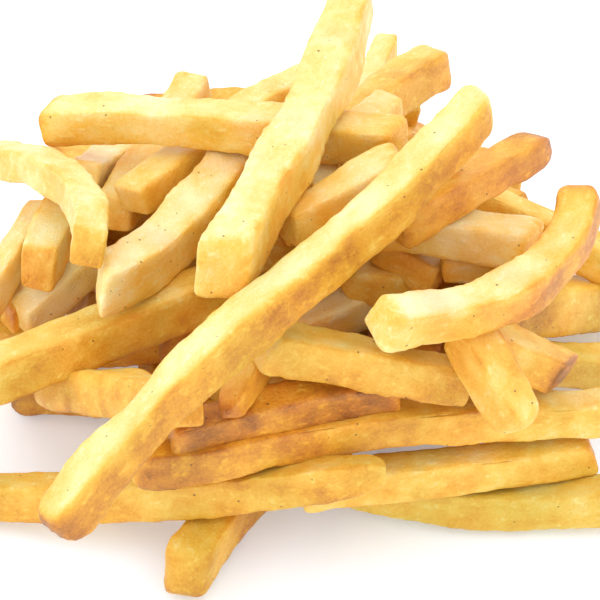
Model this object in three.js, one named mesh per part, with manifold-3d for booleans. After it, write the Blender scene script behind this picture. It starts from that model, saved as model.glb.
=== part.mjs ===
// French fries portion: a loose heap of straight-cut fries, resting on its own flat base.
// Units are millimetres, +Z is up, +Y runs from the front of the heap to its far side, the longer way.
// The fries that lie open to view are laid out one by one, from the bottom of the heap upwards,
// on a board that stands square to a slanting line of sight; a resting rule then lets each one
// sink along that line until it lies on the mound or on the fries laid before it.
import * as THREE from 'three';
import { mergeVertices } from 'three/addons/utils/BufferGeometryUtils.js';
import Module from 'manifold-3d';

const wasm = await Module();
wasm.setup();

// ---- driving dimensions ----
const BOARD_UNIT = 0.2;            // size of one board unit
const BOARD_MIDDLE = 300;          // board unit that lies at the middle of the board
const SIGHT_DISTANCE = 500;        // from the sighting point to the middle of the board
const SIGHT_RISE = THREE.MathUtils.degToRad(40);
const MOUNDS = [                   // half-ellipsoids that the open fries rest on
  { x: -1, y: 2, a: 59, b: 36, h: 32 },
  { x: 9, y: -18, a: 45, b: 31, h: 27 },
];
const CORE_FACETS = [16, 4];       // round the core, up the core
const CORES = [                    // the solid middle, well below the mounds
  { x: -4, y: 0, a: 42, b: 25, h: 21 },
  { x: 8, y: -19, a: 34, b: 21, h: 17 },
];
const CORNER = 0.66;               // flat share of each side of the section, the rest is rounded off
const CONTACT = 0.56;              // share of the thickness kept between touching middles
const MOUND_BITE = 0.15;           // share of the width by which a fry is pressed into the mound
const EDGE_OVERLAP = 0.97;         // share of the joint half-widths within which two fries touch
const SETTLE_STEPS = 24;           // stations along a fry for the resting rule
const TILT_STEPS = 60;             // tilts tried each side of the wanted one
const TILT_REACH = 1.5;            // steepest extra tilt tried, depth for each mm of board length
const LEVEL_WEIGHT = 0.2;          // how strongly a fry keeps its wanted tilt
const RING_SPACING = 16;           // mm between sections of a bent fry
const BEND_LIMIT = 1.2;            // mm of bow under which a fry counts as straight
const UNEVEN = 0.05;               // share by which the thickness wanders
const SHIFT = { x: -1.7, y: 25.8 };  // brings the middle of the heap's box to the origin
const BASE_CUT = 200;              // half-size of the block that trims everything below the floor

// Ends: [distance from the end in mm, share of the full section] for each ring
const TIPS = {
  plain: [[0, 1]],
  cut: [[0, 0.74], [1.3, 1]],
  round: [[0, 0.42], [1.4, 0.8], [4, 1]],
  taper: [[0, 0.3], [3, 0.6], [14, 1]],
};

// One row for each fry, lowest first:
// name, points on the board, apparent width, roll in degrees, wanted rise towards the
// second end, level weight (0 takes the usual one), closeness (0 takes the usual one), two ends
const OPEN_FRIES = [
  ['front_stub', [[183, 582], [200, 548], [232, 505], [262, 478]], 10.5, 20, 0, 0, 0, 'round', 'cut'],
  ['front_right_sagging', [[335, 486], [400, 496], [500, 505], [640, 494]], 9, 10, 0, 0, 0, 'taper', 'cut'],
  ['left_edge_low', [[-30, 338], [60, 334]], 8, 0, 0, 0, 0.3, 'cut', 'cut'],
  ['left_olive_stub', [[14, 393], [110, 396]], 8, 0, 0, 0, 0.4, 'round', 'cut'],
  ['left_inner_shaded', [[55, 352], [190, 340]], 8, 0, 0, 0, 0.2, 'cut', 'cut'],
  ['middle_inner_shaded', [[300, 330], [372, 300]], 9, 0, 0, 0, 0.2, 'cut', 'cut'],
  ['middle_inner_red', [[365, 345], [440, 352]], 8, 0, 0, 0, 0.2, 'cut', 'cut'],
  ['right_edge_low', [[520, 362], [650, 372]], 9, 0, 0, 0, 0, 'cut', 'cut'],
  ['lower_inner_pink', [[150, 438], [266, 425]], 8, 0, 0, 0, 0.25, 'cut', 'cut'],
  ['front_right_low', [[304, 488], [400, 477], [450, 471], [594, 452]], 9, 8, -2, 0.6, 0, 'cut', 'cut'],
  ['front_left_long', [[-40, 496], [100, 497], [230, 489], [386, 470]], 9, 12, 0, 0.05, 0.42, 'cut', 'taper'],
  ['front_long_golden', [[128, 468], [240, 450], [330, 432], [470, 418], [630, 407]], 8.8, 10, 0, 0, 0.42,
    'round', 'cut'],
  ['under_centre_shaded', [[172, 436], [300, 404], [400, 390]], 8, 0, 0, 0, 0.3, 'cut', 'cut'],
  ['left_short_golden', [[38, 385], [95, 392], [182, 404]], 8.5, 20, 0, 0, 0, 'taper', 'cut'],
  ['browned_end_left', [[160, 342], [220, 316]], 9, 20, 0, 0, 0.35, 'cut', 'cut'],
  ['downward_shaded', [[227, 416], [246, 376], [264, 345]], 7.5, 10, 0, 0, 0.3, 'taper', 'cut'],
  ['right_wide_golden', [[490, 318], [560, 306], [650, 300]], 11, 15, 0, 0.05, 0, 'cut', 'cut'],
  ['inner_golden', [[340, 282], [420, 284]], 8.5, 10, 0, 0, 0.3, 'round', 'cut'],
  ['inner_orange', [[378, 244], [440, 280]], 8.5, 10, 0, 0, 0.3, 'cut', 'cut'],
  ['inner_thin_pale', [[440, 264], [500, 260]], 8, 0, 0, 0, 0.25, 'cut', 'cut'],
  ['right_back_golden', [[450, 185], [547, 232], [640, 280]], 8.5, 10, 0, 0, 0, 'cut', 'cut'],
  ['left_pink_end', [[6, 318], [60, 268]], 8.5, 0, 0, 0, 0.3, 'cut', 'cut'],
  ['left_steep_golden', [[-30, 318], [45, 212]], 8, 10, 0, 0.08, 0.45, 'cut', 'cut'],
  ['left_pale_topped', [[20, 320], [62, 288], [95, 250]], 9, 0, 0, 0, 0.35, 'cut', 'cut'],
  ['left_orange_ended', [[36, 272], [66, 210]], 9, 0, 0, 0, 0.45, 'cut', 'cut'],
  ['left_back_peach', [[80, 180], [140, 146]], 8.5, 0, 0, 0, 0.25, 'cut', 'cut'],
  ['back_left_tip', [[112, 215], [160, 145], [198, 80]], 9, 0, 0, 0.8, 0.3, 'cut', 'round'],
  ['back_nub', [[345, 140], [389, 40]], 6, 0, 0, 0.8, 0.3, 'cut', 'round'],
  ['back_golden_blunt', [[330, 150], [396, 90], [444, 62]], 11, 10, 0, 0.8, 0, 'cut', 'round'],
  ['back_pale_short', [[335, 152], [392, 104]], 8, 0, 0, 0.8, 0.3, 'cut', 'cut'],
  ['back_left_pale', [[130, 202], [182, 163], [245, 118], [330, 74]], 9, 10, 0, 0.5, 0.45, 'cut', 'cut'],
  ['back_pale_corner', [[315, 190], [348, 172]], 8, 0, 0, 0, 0.3, 'cut', 'cut'],
  ['left_large_golden', [[-40, 388], [60, 350], [130, 322], [240, 284]], 11, 10, 0, 0.05, 0, 'cut', 'cut'],
  ['centre_blunt', [[262, 345], [350, 362], [470, 384]], 9.5, 10, 0, 0, 0.42, 'cut', 'cut'],
  ['right_centre_patched', [[372, 226], [450, 232], [532, 247]], 10, 10, 0, 0, 0, 'cut', 'cut'],
  ['left_centre_specked', [[99, 287], [160, 250], [207, 198], [240, 155]], 11, 5, 0, 0, 0, 'cut', 'cut'],
  ['left_arched', [[-30, 166], [38, 167], [76, 192], [88, 250]], 8.5, 10, 0, 0, 0, 'cut', 'cut'],
  ['top_left_level', [[48, 122], [180, 122], [300, 134], [400, 144]], 10, 0, 0, 0, 0, 'cut', 'cut'],
  ['inner_orange_pink', [[285, 228], [345, 195], [400, 167]], 9, 10, 0, 0, 0, 'cut', 'cut'],
  ['right_back_pointed', [[440, 202], [543, 142]], 8.5, 10, 0, 0.6, 0.4, 'cut', 'round'],
  ['right_square_ended', [[466, 334], [566, 374]], 9.5, 0, 0, 0.1, 0.4, 'cut', 'cut'],
  ['right_short_diagonal', [[466, 330], [525, 429]], 10, 10, 12, 0, 0, 'cut', 'round'],
  ['right_bent_big_end', [[380, 320], [470, 310], [545, 272], [581, 190]], 9.5, 10, 0, 0, 0, 'cut', 'round'],
  ['top_wide_pale', [[220, 272], [290, 150], [330, 68], [354, -8]], 11.3, 5, 14, 0.2, 0, 'cut', 'round'],
  ['top_long_diagonal', [[52, 531], [121, 447], [234, 337], [305, 277], [400, 192], [486, 98]], 9.6, 8, 44,
    0.5, 0.42, 'round', 'round'],
];
// The far side, laid out the same way on a board that faces the other way.
const FAR_FRIES = [
  ['far_low_left', [[80, 362], [190, 394], [310, 402]], 9, 0, 0, 0, 0.12, 'cut', 'round'],
  ['far_low_right', [[290, 412], [400, 402], [500, 375]], 9, 7, 0, 0, 0.12, 'round', 'cut'],
  ['far_end_right', [[450, 400], [560, 352]], 9.5, 14, 0, 0, 0.12, 'cut', 'cut'],
  ['far_mid_left', [[60, 336], [240, 370]], 9, 1, 0, 0, 0.12, 'cut', 'cut'],
  ['far_mid_right', [[290, 372], [420, 360], [560, 318]], 9, 8, 0, 0, 0.12, 'cut', 'cut'],
  ['far_steep_left', [[150, 400], [225, 306]], 9, 15, 0, 0, 0.12, 'round', 'cut'],
  ['far_steep_middle', [[335, 425], [352, 370], [360, 325]], 9.5, 2, 0, 0, 0.12, 'cut', 'cut'],
  ['far_steep_right', [[520, 385], [445, 305]], 9, 9, 0, 0, 0.12, 'cut', 'cut'],
  ['far_level_long', [[165, 352], [300, 362], [430, 352]], 9, 16, 0, 0, 0.12, 'cut', 'cut'],
  ['far_high_left', [[180, 380], [280, 332]], 9.5, 3, 0, 0, 0.12, 'cut', 'cut'],
  ['far_high_right', [[372, 386], [500, 402]], 9, 10, 0, 0, 0.12, 'cut', 'round'],
];
// Carrying fries: from under an open fry at one share of its length down to the core at another
const CARRY_SHARES = [[0.25, 0.42], [0.72, 0.55], [0.5, 0.3], [0.5, 0.72], [0.1, 0.25], [0.9, 0.75]];
const CARRY_WIDTH = 0.8;           // width over the width of the open fry
const CARRY_SINK = 11;             // how far below the mound's surface it stands
const CARRY_GAP = 4;               // least drop from its top to its foot
const CARRY_CLEAR = 0.55;          // least distance to another fry, as a share of the joint half-width
const CARRY_ROLL = 0.3;            // roll in radians for each station between its top and the end
const CARRY_LONG = 50;             // mm between the ends from which a fry may get two
const COMPASS = 48;                // directions in which the outline of the heap is kept
// Packed fries: drawn at random, dropped straight down, the lowest of each handful kept
const PACK_SEED = 41;
const PACK_ROUNDS = 130;
const PACK_HANDFUL = 22;
const PACK_X = [-64, 64];          // where their middles are drawn
const PACK_Y = [-78, 50];
const PACK_LENGTH = [16, 46];
const PACK_WIDTH = [7.8, 9.2];
const PACK_ROLL = 25;              // most roll either way, in degrees
const PACK_CLOSE = 0.72;           // how closely they sink into each other
const PACK_LEVEL = 0.1;            // how strongly they keep level
const PACK_ROUND_END = 0.4;        // share of them with a rounded end
const PACK_EDGE = 1;               // kept clear inside the outline
const PACK_SLOPE = 0.85;           // rise of the heap's slope over the distance from the outline
const PACK_FOOT = 10;              // height of the slope at the outline
const PACK_BEHIND = 0.6;           // share of the joint half-width they stay behind an open fry
const PACK_MOUND = 3;              // how far inside the mound's outline they are counted as hidden
const PACK_COVER = 0.45;           // share of an open fry's width that hides what is behind it
const LOOK_THROUGH = [             // places left free: middle and half-sides in board units
  [416, 450, 42, 9], [4, 313, 14, 16], [76, 158, 16, 9],
];
const DEEP = 0.35;                 // closeness up to which an open fry is plain, as little of it shows

// ---- the board ----
const V3 = (x, y, z) => new THREE.Vector3(x, y, z);
function boardView(turn) {
  const ahead = V3(-Math.sin(turn) * Math.cos(SIGHT_RISE), Math.cos(turn) * Math.cos(SIGHT_RISE),
    -Math.sin(SIGHT_RISE));
  const right = V3(Math.cos(turn), Math.sin(turn), 0);
  const up = right.clone().cross(ahead);
  return { turn, ahead, right, up, eye: ahead.clone().multiplyScalar(-SIGHT_DISTANCE) };
}
// The board lying flat above the heap
const ABOVE = { turn: 0, ahead: V3(0, 0, -1), right: V3(1, 0, 0), up: V3(0, 1, 0), eye: V3(0, 0, SIGHT_DISTANCE) };
// Direction of the line of sight through a board place; its part straight ahead is 1 long.
function sightLine(view, u, v) {
  return view.ahead.clone().addScaledVector(view.right, u / SIGHT_DISTANCE)
    .addScaledVector(view.up, v / SIGHT_DISTANCE);
}
// Point on that line, `depth` mm in front of the board.
function fromBoard(view, u, v, depth) {
  return view.eye.clone().addScaledVector(sightLine(view, u, v), SIGHT_DISTANCE - depth);
}
function toBoard(view, p) {
  const r = p.clone().sub(view.eye);
  const far = r.dot(view.ahead);
  return [SIGHT_DISTANCE * r.dot(view.right) / far, SIGHT_DISTANCE * r.dot(view.up) / far,
    SIGHT_DISTANCE - far];
}
// Depth at which the line meets a level `z` above the floor.
function levelDepth(view, u, v, z) {
  return SIGHT_DISTANCE - (z - view.eye.z) / sightLine(view, u, v).z;
}
// Depth at which the line meets the mounds grown by `grow`, from the quadratic of the ellipsoid.
function moundDepth(view, u, v, grow) {
  return Math.max(...MOUNDS.map((mound) => {
    const size = V3(mound.a + grow, mound.b + grow, mound.h + grow);
    const from = view.eye.clone().sub(V3(mound.x, mound.y, 0)).divide(size);
    const along = sightLine(view, u, v).divide(size);
    const a = along.dot(along);
    const b = along.dot(from);
    const root = b * b - a * (from.dot(from) - 1);
    return root > 0 ? SIGHT_DISTANCE - (-b - Math.sqrt(root)) / a : -Infinity;
  }));
}

// Smooth line through the points (Lagrange's formula over the share of the chord length).
function smoothPath(points, steps) {
  const knots = [0];
  for (let i = 1; i < points.length; i += 1) {
    knots.push(knots[i - 1] + Math.hypot(points[i][0] - points[i - 1][0], points[i][1] - points[i - 1][1]));
  }
  const t = knots.map((k) => k / knots[knots.length - 1]);
  const path = [];
  for (let n = 0; n <= steps; n += 1) {
    const s = n / steps;
    let x = 0;
    let y = 0;
    points.forEach((p, i) => {
      let weight = 1;
      t.forEach((tj, j) => { if (j !== i) weight *= (s - tj) / (t[i] - tj); });
      x += weight * p[0];
      y += weight * p[1];
    });
    path.push([(x - BOARD_MIDDLE) * BOARD_UNIT, (BOARD_MIDDLE - y) * BOARD_UNIT]);
  }
  return path;
}

// ---- the resting rule ----
function settle(row, view, laid, onMounds = true) {
  const [name, points, width, roll, rise, level, close, ...tips] = row;
  const [startTip, endTip] = view.turn || !close || close > DEEP ? tips : ['plain', 'plain'];
  const path = smoothPath(points, SETTLE_STEPS);
  const share = close || CONTACT;
  const weight = level || LEVEL_WEIGHT;
  const others = laid.map((g) => ({ width: g.width, places: g.line.map((p) => toBoard(view, p)) }));
  const lowest = path.map(([u, v]) => {
    let depth = levelDepth(view, u, v, width / 2);
    if (onMounds) depth = Math.max(depth, moundDepth(view, u, v, width * (share - MOUND_BITE)));
    for (const g of others) {
      const reach = (width + g.width) / 2;
      for (const [gu, gv, gd] of g.places) {
        const apart = Math.hypot(u - gu, v - gv) / (reach * EDGE_OVERLAP);
        if (apart < 1) depth = Math.max(depth, gd + reach * share * Math.cbrt(1 - apart ** 3));
      }
    }
    return depth;
  });
  let board = 0;
  for (let i = 1; i < path.length; i += 1) {
    board += Math.hypot(path[i][0] - path[i - 1][0], path[i][1] - path[i - 1][1]);
  }
  const last = path[path.length - 1];
  const wanted = levelDepth(view, last[0], last[1], 0) - levelDepth(view, path[0][0], path[0][1], 0)
    + rise / Math.sin(SIGHT_RISE);
  let best = null;
  for (let i = -TILT_STEPS; i <= TILT_STEPS; i += 1) {
    const tilt = wanted + TILT_REACH * board * i / TILT_STEPS;
    const middle = Math.max(...lowest.map((d, n) => d - tilt * (n / SETTLE_STEPS - 0.5)));
    const cost = middle + weight * Math.abs(tilt - wanted);
    if (!best || cost < best.cost) best = { cost, middle, tilt };
  }
  const line = path.map(([u, v], n) => fromBoard(view, u, v, best.middle + best.tilt * (n / SETTLE_STEPS - 0.5)));
  return { name, width, roll: THREE.MathUtils.degToRad(roll), startTip, endTip, line, view };
}

// ---- one fry as a closed solid ----
// The section is a square with its corners cut off; it keeps one face up when the roll is 0.
function section(plain) {
  if (plain) return [[-0.5, -0.5], [0.5, -0.5], [0.5, 0.5], [-0.5, 0.5]];
  const c = CORNER;
  return [[-1, -c], [-c, -1], [c, -1], [1, -c], [1, c], [c, 1], [-c, 1], [-1, c]]
    .map(([x, y]) => [x / 2, y / 2]);
}
function fryGeometry(fry, noise) {
  const plain = fry.startTip === 'plain';
  const curve = new THREE.CatmullRomCurve3(fry.line);
  const length = curve.getLength();
  const bow = fry.line[fry.line.length >> 1].distanceTo(
    fry.line[0].clone().lerp(fry.line[fry.line.length - 1], 0.5));
  const inner = bow < BEND_LIMIT || plain ? 0 : Math.max(1, Math.round(length / RING_SPACING) - 1);
  const rings = TIPS[fry.startTip].map(([d, k]) => [d, k]);
  const start = rings[rings.length - 1][0];
  const stop = length - TIPS[fry.endTip][TIPS[fry.endTip].length - 1][0];
  for (let i = 1; i <= inner; i += 1) {
    rings.push([start + (stop - start) * i / (inner + 1), 1 + UNEVEN * (2 * noise() - 1)]);
  }
  TIPS[fry.endTip].slice().reverse().forEach(([d, k]) => rings.push([length - d, k]));
  const shape = section(plain);
  const positions = [];
  const middle = curve.getTangentAt(0.5);
  const sight = fry.view.ahead;
  const frame = (tangent) => {
    const across = tangent.clone().cross(V3(0, 0, 1)).normalize();
    const upward = across.clone().cross(tangent);
    const a = across.clone().multiplyScalar(Math.cos(fry.roll)).addScaledVector(upward, Math.sin(fry.roll));
    const b = upward.clone().multiplyScalar(Math.cos(fry.roll)).addScaledVector(across, -Math.sin(fry.roll));
    return [a, b];
  };
  // Size of the section that gives the wanted width across the line of sight
  const [a0, b0] = frame(middle);
  const seen = sight.clone().cross(middle).normalize();
  const spread = 2 * Math.max(...shape.map(([x, y]) => x * a0.dot(seen) + y * b0.dot(seen)));
  const size = fry.width / spread;
  for (const [d, k] of rings) {
    const u = Math.min(1, Math.max(0, d / length));
    const p = curve.getPointAt(u);
    const [a, b] = frame(curve.getTangentAt(u));
    for (const [x, y] of shape) {
      const q = p.clone().addScaledVector(a, x * k * size).addScaledVector(b, y * k * size);
      positions.push(q.x, q.y, q.z);
    }
  }
  const n = shape.length;
  const index = [];
  for (let r = 0; r + 1 < rings.length; r += 1) {
    for (let i = 0; i < n; i += 1) {
      const j = (i + 1) % n;
      index.push(r * n + i, (r + 1) * n + j, r * n + j, r * n + i, (r + 1) * n + i, (r + 1) * n + j);
    }
  }
  const end = (rings.length - 1) * n;
  for (let i = 1; i + 1 < n; i += 1) {
    index.push(0, i, i + 1, end, end + i + 1, end + i);
  }
  const geometry = new THREE.BufferGeometry();
  geometry.setAttribute('position', new THREE.Float32BufferAttribute(positions, 3));
  geometry.setIndex(index);
  return geometry;
}

function toSolid(geometry) {
  const g = geometry.clone();
  g.deleteAttribute('normal');
  g.deleteAttribute('uv');
  const merged = mergeVertices(g, 1e-4);
  return new wasm.Manifold(new wasm.Mesh({
    numProp: 3,
    vertProperties: Float32Array.from(merged.attributes.position.array),
    triVerts: Uint32Array.from(merged.index.array),
  }));
}

// A repeatable stream of numbers between 0 and 1
function numberStream(seed) {
  let state = seed;
  return () => {
    state = (state * 16807) % 2147483647;
    return state / 2147483647;
  };
}

// ---- the core ----
function coreSolid(core) {
  const profile = [];
  for (let i = 0; i <= CORE_FACETS[1]; i += 1) {
    const a = (Math.PI / 2) * i / CORE_FACETS[1];
    profile.push(new THREE.Vector2(i === CORE_FACETS[1] ? 0 : Math.cos(a), Math.sin(a)));
  }
  profile.unshift(new THREE.Vector2(0, 0));
  const lathe = new THREE.LatheGeometry(profile, CORE_FACETS[0]);
  lathe.rotateX(Math.PI / 2);
  lathe.scale(core.a, core.b, core.h);
  lathe.translate(core.x, core.y, 0);
  return toSolid(lathe);
}

// ---- the heap's outline, as its reach in each direction of the compass ----
const compass = [];
for (let i = 0; i < COMPASS; i += 1) {
  compass.push([Math.cos(2 * Math.PI * i / COMPASS), Math.sin(2 * Math.PI * i / COMPASS)]);
}
function outlineOf(fries) {
  const points = fries.flatMap((fry) => fry.line);
  return compass.map(([x, y]) => Math.max(...points.map((p) => p.x * x + p.y * y)));
}
// Distance from a point to the outline, negative outside it
function marginOf(outline, p) {
  return Math.min(...outline.map((reach, i) => reach - p.x * compass[i][0] - p.y * compass[i][1]));
}

// ---- fries that carry the open ones ----
function gapBetween(fry, line, width) {
  let apart = Infinity;
  for (const p of fry.line) for (const q of line) apart = Math.min(apart, p.distanceTo(q));
  return apart / ((fry.width + width) / 2);
}
function carryFries(fry, others, outline) {
  const { view } = fry;
  const width = fry.width * CARRY_WIDTH;
  const places = fry.line.map((p) => toBoard(view, p));
  const most = fry.line[SETTLE_STEPS].distanceTo(fry.line[0]) > CARRY_LONG ? 2 : 1;
  const kept = [];
  for (const [from, to] of CARRY_SHARES) {
    const first = Math.round(from * SETTLE_STEPS);
    const [u, v, depth] = places[first];
    const [footU, footV] = places[Math.round(to * SETTLE_STEPS)];
    const top = depth - CONTACT * (fry.width + width) / 2;
    const ground = Math.max(moundDepth(view, footU, footV, -CARRY_SINK), levelDepth(view, footU, footV, width / 2));
    if (top - ground < CARRY_GAP || kept.length >= most) continue;
    const start = fromBoard(view, u, v, top);
    const foot = fromBoard(view, footU, footV, ground);
    if (Math.min(marginOf(outline, start), marginOf(outline, foot)) < width / 2) continue;
    const line = [];
    for (let n = 0; n <= SETTLE_STEPS; n += 1) line.push(start.clone().lerp(foot, n / SETTLE_STEPS));
    const near = [...others, ...kept].some((one) => one !== fry && gapBetween(one, line, width) <= CARRY_CLEAR);
    if (!near) kept.push({ width, roll: CARRY_ROLL * first, startTip: 'plain', endTip: 'plain', line, view });
  }
  return kept;
}

// ---- fries packed inside ----
function onBoard(fries, view) {
  return fries.flatMap((fry) => fry.line.map((p) => [...toBoard(view, p), fry.width]));
}
// True where the fry lies deeper than every open fry that it crosses on the board
function staysBehind(fry, placed, view) {
  return fry.line.every((p) => {
    const [u, v, depth] = toBoard(view, p);
    return placed.every(([otherU, otherV, otherDepth, otherWidth]) => {
      const reach = (fry.width + otherWidth) / 2;
      return Math.hypot(u - otherU, v - otherV) >= reach || depth <= otherDepth - PACK_BEHIND * reach;
    });
  });
}
// True where its middle and both edges are hidden by an open fry or lie over the mound
function staysInside(fry, placed, view) {
  const places = fry.line.map((p) => toBoard(view, p));
  const [firstU, firstV] = places[0];
  const [lastU, lastV] = places[SETTLE_STEPS];
  const length = Math.hypot(lastU - firstU, lastV - firstV) + 1e-9;
  const along = [(lastU - firstU) / length, (lastV - firstV) / length];
  return places.every(([u, v]) => [-0.5, 0, 0.5].every((share) => {
    const edgeU = u - share * fry.width * along[1];
    const edgeV = v + share * fry.width * along[0];
    const x = edgeU / BOARD_UNIT + BOARD_MIDDLE;
    const y = BOARD_MIDDLE - edgeV / BOARD_UNIT;
    const through = ([cx, cy, wide, tall]) => ((x - cx) / wide) ** 2 + ((y - cy) / tall) ** 2 <= 1;
    if (LOOK_THROUGH.some(through)) return false;
    return moundDepth(view, edgeU, edgeV, -PACK_MOUND) > -Infinity
      || placed.some(([otherU, otherV, , width]) => Math.hypot(edgeU - otherU, edgeV - otherV) < PACK_COVER * width);
  }));
}
// One fry drawn at random, dropped onto those already packed; null where it breaks a rule
function dropOne(packed, stream, outline, views) {
  const pick = ([low, high]) => low + (high - low) * stream();
  const middle = V3(pick(PACK_X), pick(PACK_Y), 0);
  const heading = pick([0, Math.PI]);
  const half = pick(PACK_LENGTH) / 2;
  const width = pick(PACK_WIDTH);
  const roll = pick([-PACK_ROLL, PACK_ROLL]);
  const tips = ['cut', pick([0, 1]) < PACK_ROUND_END ? 'round' : 'cut'];
  const step = V3(half * Math.cos(heading), half * Math.sin(heading), 0);
  const ends = [middle.clone().sub(step), middle.clone().add(step)];
  if (ends.some((p) => marginOf(outline, p) < width / 2 + PACK_EDGE)) return null;
  const points = ends.map((p) => [BOARD_MIDDLE + p.x / BOARD_UNIT, BOARD_MIDDLE - p.y / BOARD_UNIT]);
  const row = ['packed', points, width, roll, 0, PACK_LEVEL, PACK_CLOSE, ...tips];
  const fry = { ...settle(row, ABOVE, packed, false), startTip: 'plain', endTip: 'plain' };
  if (fry.line.some((p) => p.z > PACK_FOOT + PACK_SLOPE * marginOf(outline, p))) return null;
  const kept = views.every(([placed, view]) => staysBehind(fry, placed, view));
  return kept && staysInside(fry, ...views[0]) ? fry : null;
}
function meanHeight(fry) {
  return fry.line.reduce((sum, p) => sum + p.z, 0) / fry.line.length;
}

// ---- build ----
const front = boardView(0);
const far = boardView(Math.PI);
const laid = [];
for (const row of OPEN_FRIES) laid.push(settle(row, front, laid));
const laidFar = [];
for (const row of FAR_FRIES) laidFar.push(settle(row, far, laidFar));
const outline = outlineOf([...laid, ...laidFar]);
const carrying = [];
for (const fry of laid) carrying.push(...carryFries(fry, [...laid, ...carrying], outline));
const stream = numberStream(PACK_SEED);
const views = [[onBoard(laid, front), front], [onBoard(laidFar, far), far]];
const packed = [];
for (let round = 0; round < PACK_ROUNDS; round += 1) {
  let lowest = null;
  for (let one = 0; one < PACK_HANDFUL; one += 1) {
    const fry = dropOne(packed, stream, outline, views);
    if (fry && (!lowest || meanHeight(fry) < meanHeight(lowest))) lowest = fry;
  }
  if (lowest) packed.push(lowest);
}
const fries = [...packed, ...carrying, ...laid, ...laidFar];
const noise = numberStream(7);
let heap = CORES.map((core) => coreSolid(core)).reduce((sum, core) => sum.add(core));
for (const fry of fries) heap = heap.add(toSolid(fryGeometry(fry, noise)));
const above = new THREE.BoxGeometry(2 * BASE_CUT, 2 * BASE_CUT, BASE_CUT).translate(0, 0, BASE_CUT / 2);
heap = heap.intersect(toSolid(above));
// only the heap itself is kept, no loose scrap
heap = heap.decompose().sort((p, q) => q.volume() - p.volume())[0];
const solid = heap.getMesh();
const geometry = new THREE.BufferGeometry();
geometry.setAttribute('position', new THREE.Float32BufferAttribute(solid.vertProperties, 3));
geometry.setIndex(new THREE.Uint32BufferAttribute(solid.triVerts, 1));
geometry.translate(SHIFT.x, SHIFT.y, 0);
const potato = new THREE.MeshStandardMaterial({ color: 0xe3b158, roughness: 0.6, metalness: 0 });
const mesh = new THREE.Mesh(geometry, potato);
mesh.name = 'fries_heap';
const group = new THREE.Group();
group.name = 'french_fries_portion';
group.add(mesh);

export default group;
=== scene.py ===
# %% [markdown]
# # A portion of french fries
# A loose heap of straight-cut fries on a bare pale surface. The CAD model holds the heap as one
# fused solid over smooth mounds. Here the same fries are laid again, one by one, by the same
# resting rule, but as real fries: rounded edges, cut, blunt or drawn-out ends, lumpy faces, and a
# crust that runs from cream through gold to brown.
# %% Load the frame
import math
import bpy
import numpy as np
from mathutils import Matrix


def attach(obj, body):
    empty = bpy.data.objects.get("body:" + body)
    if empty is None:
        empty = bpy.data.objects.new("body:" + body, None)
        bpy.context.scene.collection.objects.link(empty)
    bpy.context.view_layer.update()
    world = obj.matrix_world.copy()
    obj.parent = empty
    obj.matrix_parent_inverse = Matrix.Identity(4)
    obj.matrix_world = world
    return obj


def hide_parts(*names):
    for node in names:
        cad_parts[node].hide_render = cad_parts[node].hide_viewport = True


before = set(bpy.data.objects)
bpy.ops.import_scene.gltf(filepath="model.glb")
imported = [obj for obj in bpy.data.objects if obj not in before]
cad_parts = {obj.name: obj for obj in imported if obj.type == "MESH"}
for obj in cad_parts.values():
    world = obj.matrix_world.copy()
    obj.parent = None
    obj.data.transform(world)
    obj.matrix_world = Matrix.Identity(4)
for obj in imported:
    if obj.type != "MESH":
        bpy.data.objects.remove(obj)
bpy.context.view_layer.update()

# %% [markdown]
# ## The sight line
# The heap is looked at slantwise from above, 40 degrees over the floor, from half a metre away.
# A board 120 mm wide stands square to that line, through the middle of the scene, and the fries
# are laid out on it. The camera stands at the sighting point, so one board width fills its view:
# a lens of 150 mm before a sensor of 36 mm sees 120 mm at 500 mm.
# %% Camera
MM = 0.001
LENS = 150
SENSOR_WIDTH = 36
SIGHT_DISTANCE = 500.0
SIGHT_RISE = math.radians(40)
BOARD_UNIT = 0.2
BOARD_MIDDLE = 300
SHIFT = np.array([-1.7, 25.8, 0.0])


def sight_frame(turn):
    """The board's own directions: ahead slants down at SIGHT_RISE, right is level, up is square to
    both, all turned about the upright axis; the eye lies SIGHT_DISTANCE back along ahead."""
    level = math.cos(SIGHT_RISE)
    ahead = np.array([-math.sin(turn) * level, math.cos(turn) * level, -math.sin(SIGHT_RISE)])
    right = np.array([math.cos(turn), math.sin(turn), 0.0])
    return {"ahead": ahead, "right": right, "up": np.cross(right, ahead), "eye": -SIGHT_DISTANCE * ahead}


FRONT = sight_frame(0.0)
FAR = sight_frame(math.pi)
lens = bpy.data.cameras.new("sight")
lens.lens = LENS
lens.sensor_width = SENSOR_WIDTH
camera = bpy.data.objects.new("sight", lens)
camera.location = (FRONT["eye"] + SHIFT) * MM
camera.rotation_euler = (math.pi / 2 - SIGHT_RISE, 0, 0)
bpy.context.collection.objects.link(camera)
bpy.context.scene.camera = camera
print("camera at", [round(c, 3) for c in camera.location])

# %% [markdown]
# ## Nodes and colours
# Colours are written as the sRGB hex values a picture editor shows, and one function turns them
# into the linear light that Blender reckons with. Another small function adds any node with its
# settings and its links, so that a material reads from top to bottom like a recipe.
# %% Node and colour helpers


def linear(hex_code):
    """sRGB to linear light: value / 12.92 near black, ((value + 0.055) / 1.055) ^ 2.4 above."""
    srgb = np.array([int(hex_code[i:i + 2], 16) for i in (1, 3, 5)]) / 255
    return (*np.where(srgb < 0.04045, srgb / 12.92, ((srgb + 0.055) / 1.055) ** 2.4), 1.0)


def add(tree, kind, sockets=None, **settings):
    """Adds a node, sets its settings, then fills each named socket with a value or a link."""
    node = tree.nodes.new(kind)
    for name, value in settings.items():
        setattr(node, name, value)
    for name, value in (sockets or {}).items():
        if isinstance(value, bpy.types.NodeSocket):
            tree.links.new(value, node.inputs[name])
        else:
            node.inputs[name].default_value = value
    return node


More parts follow.
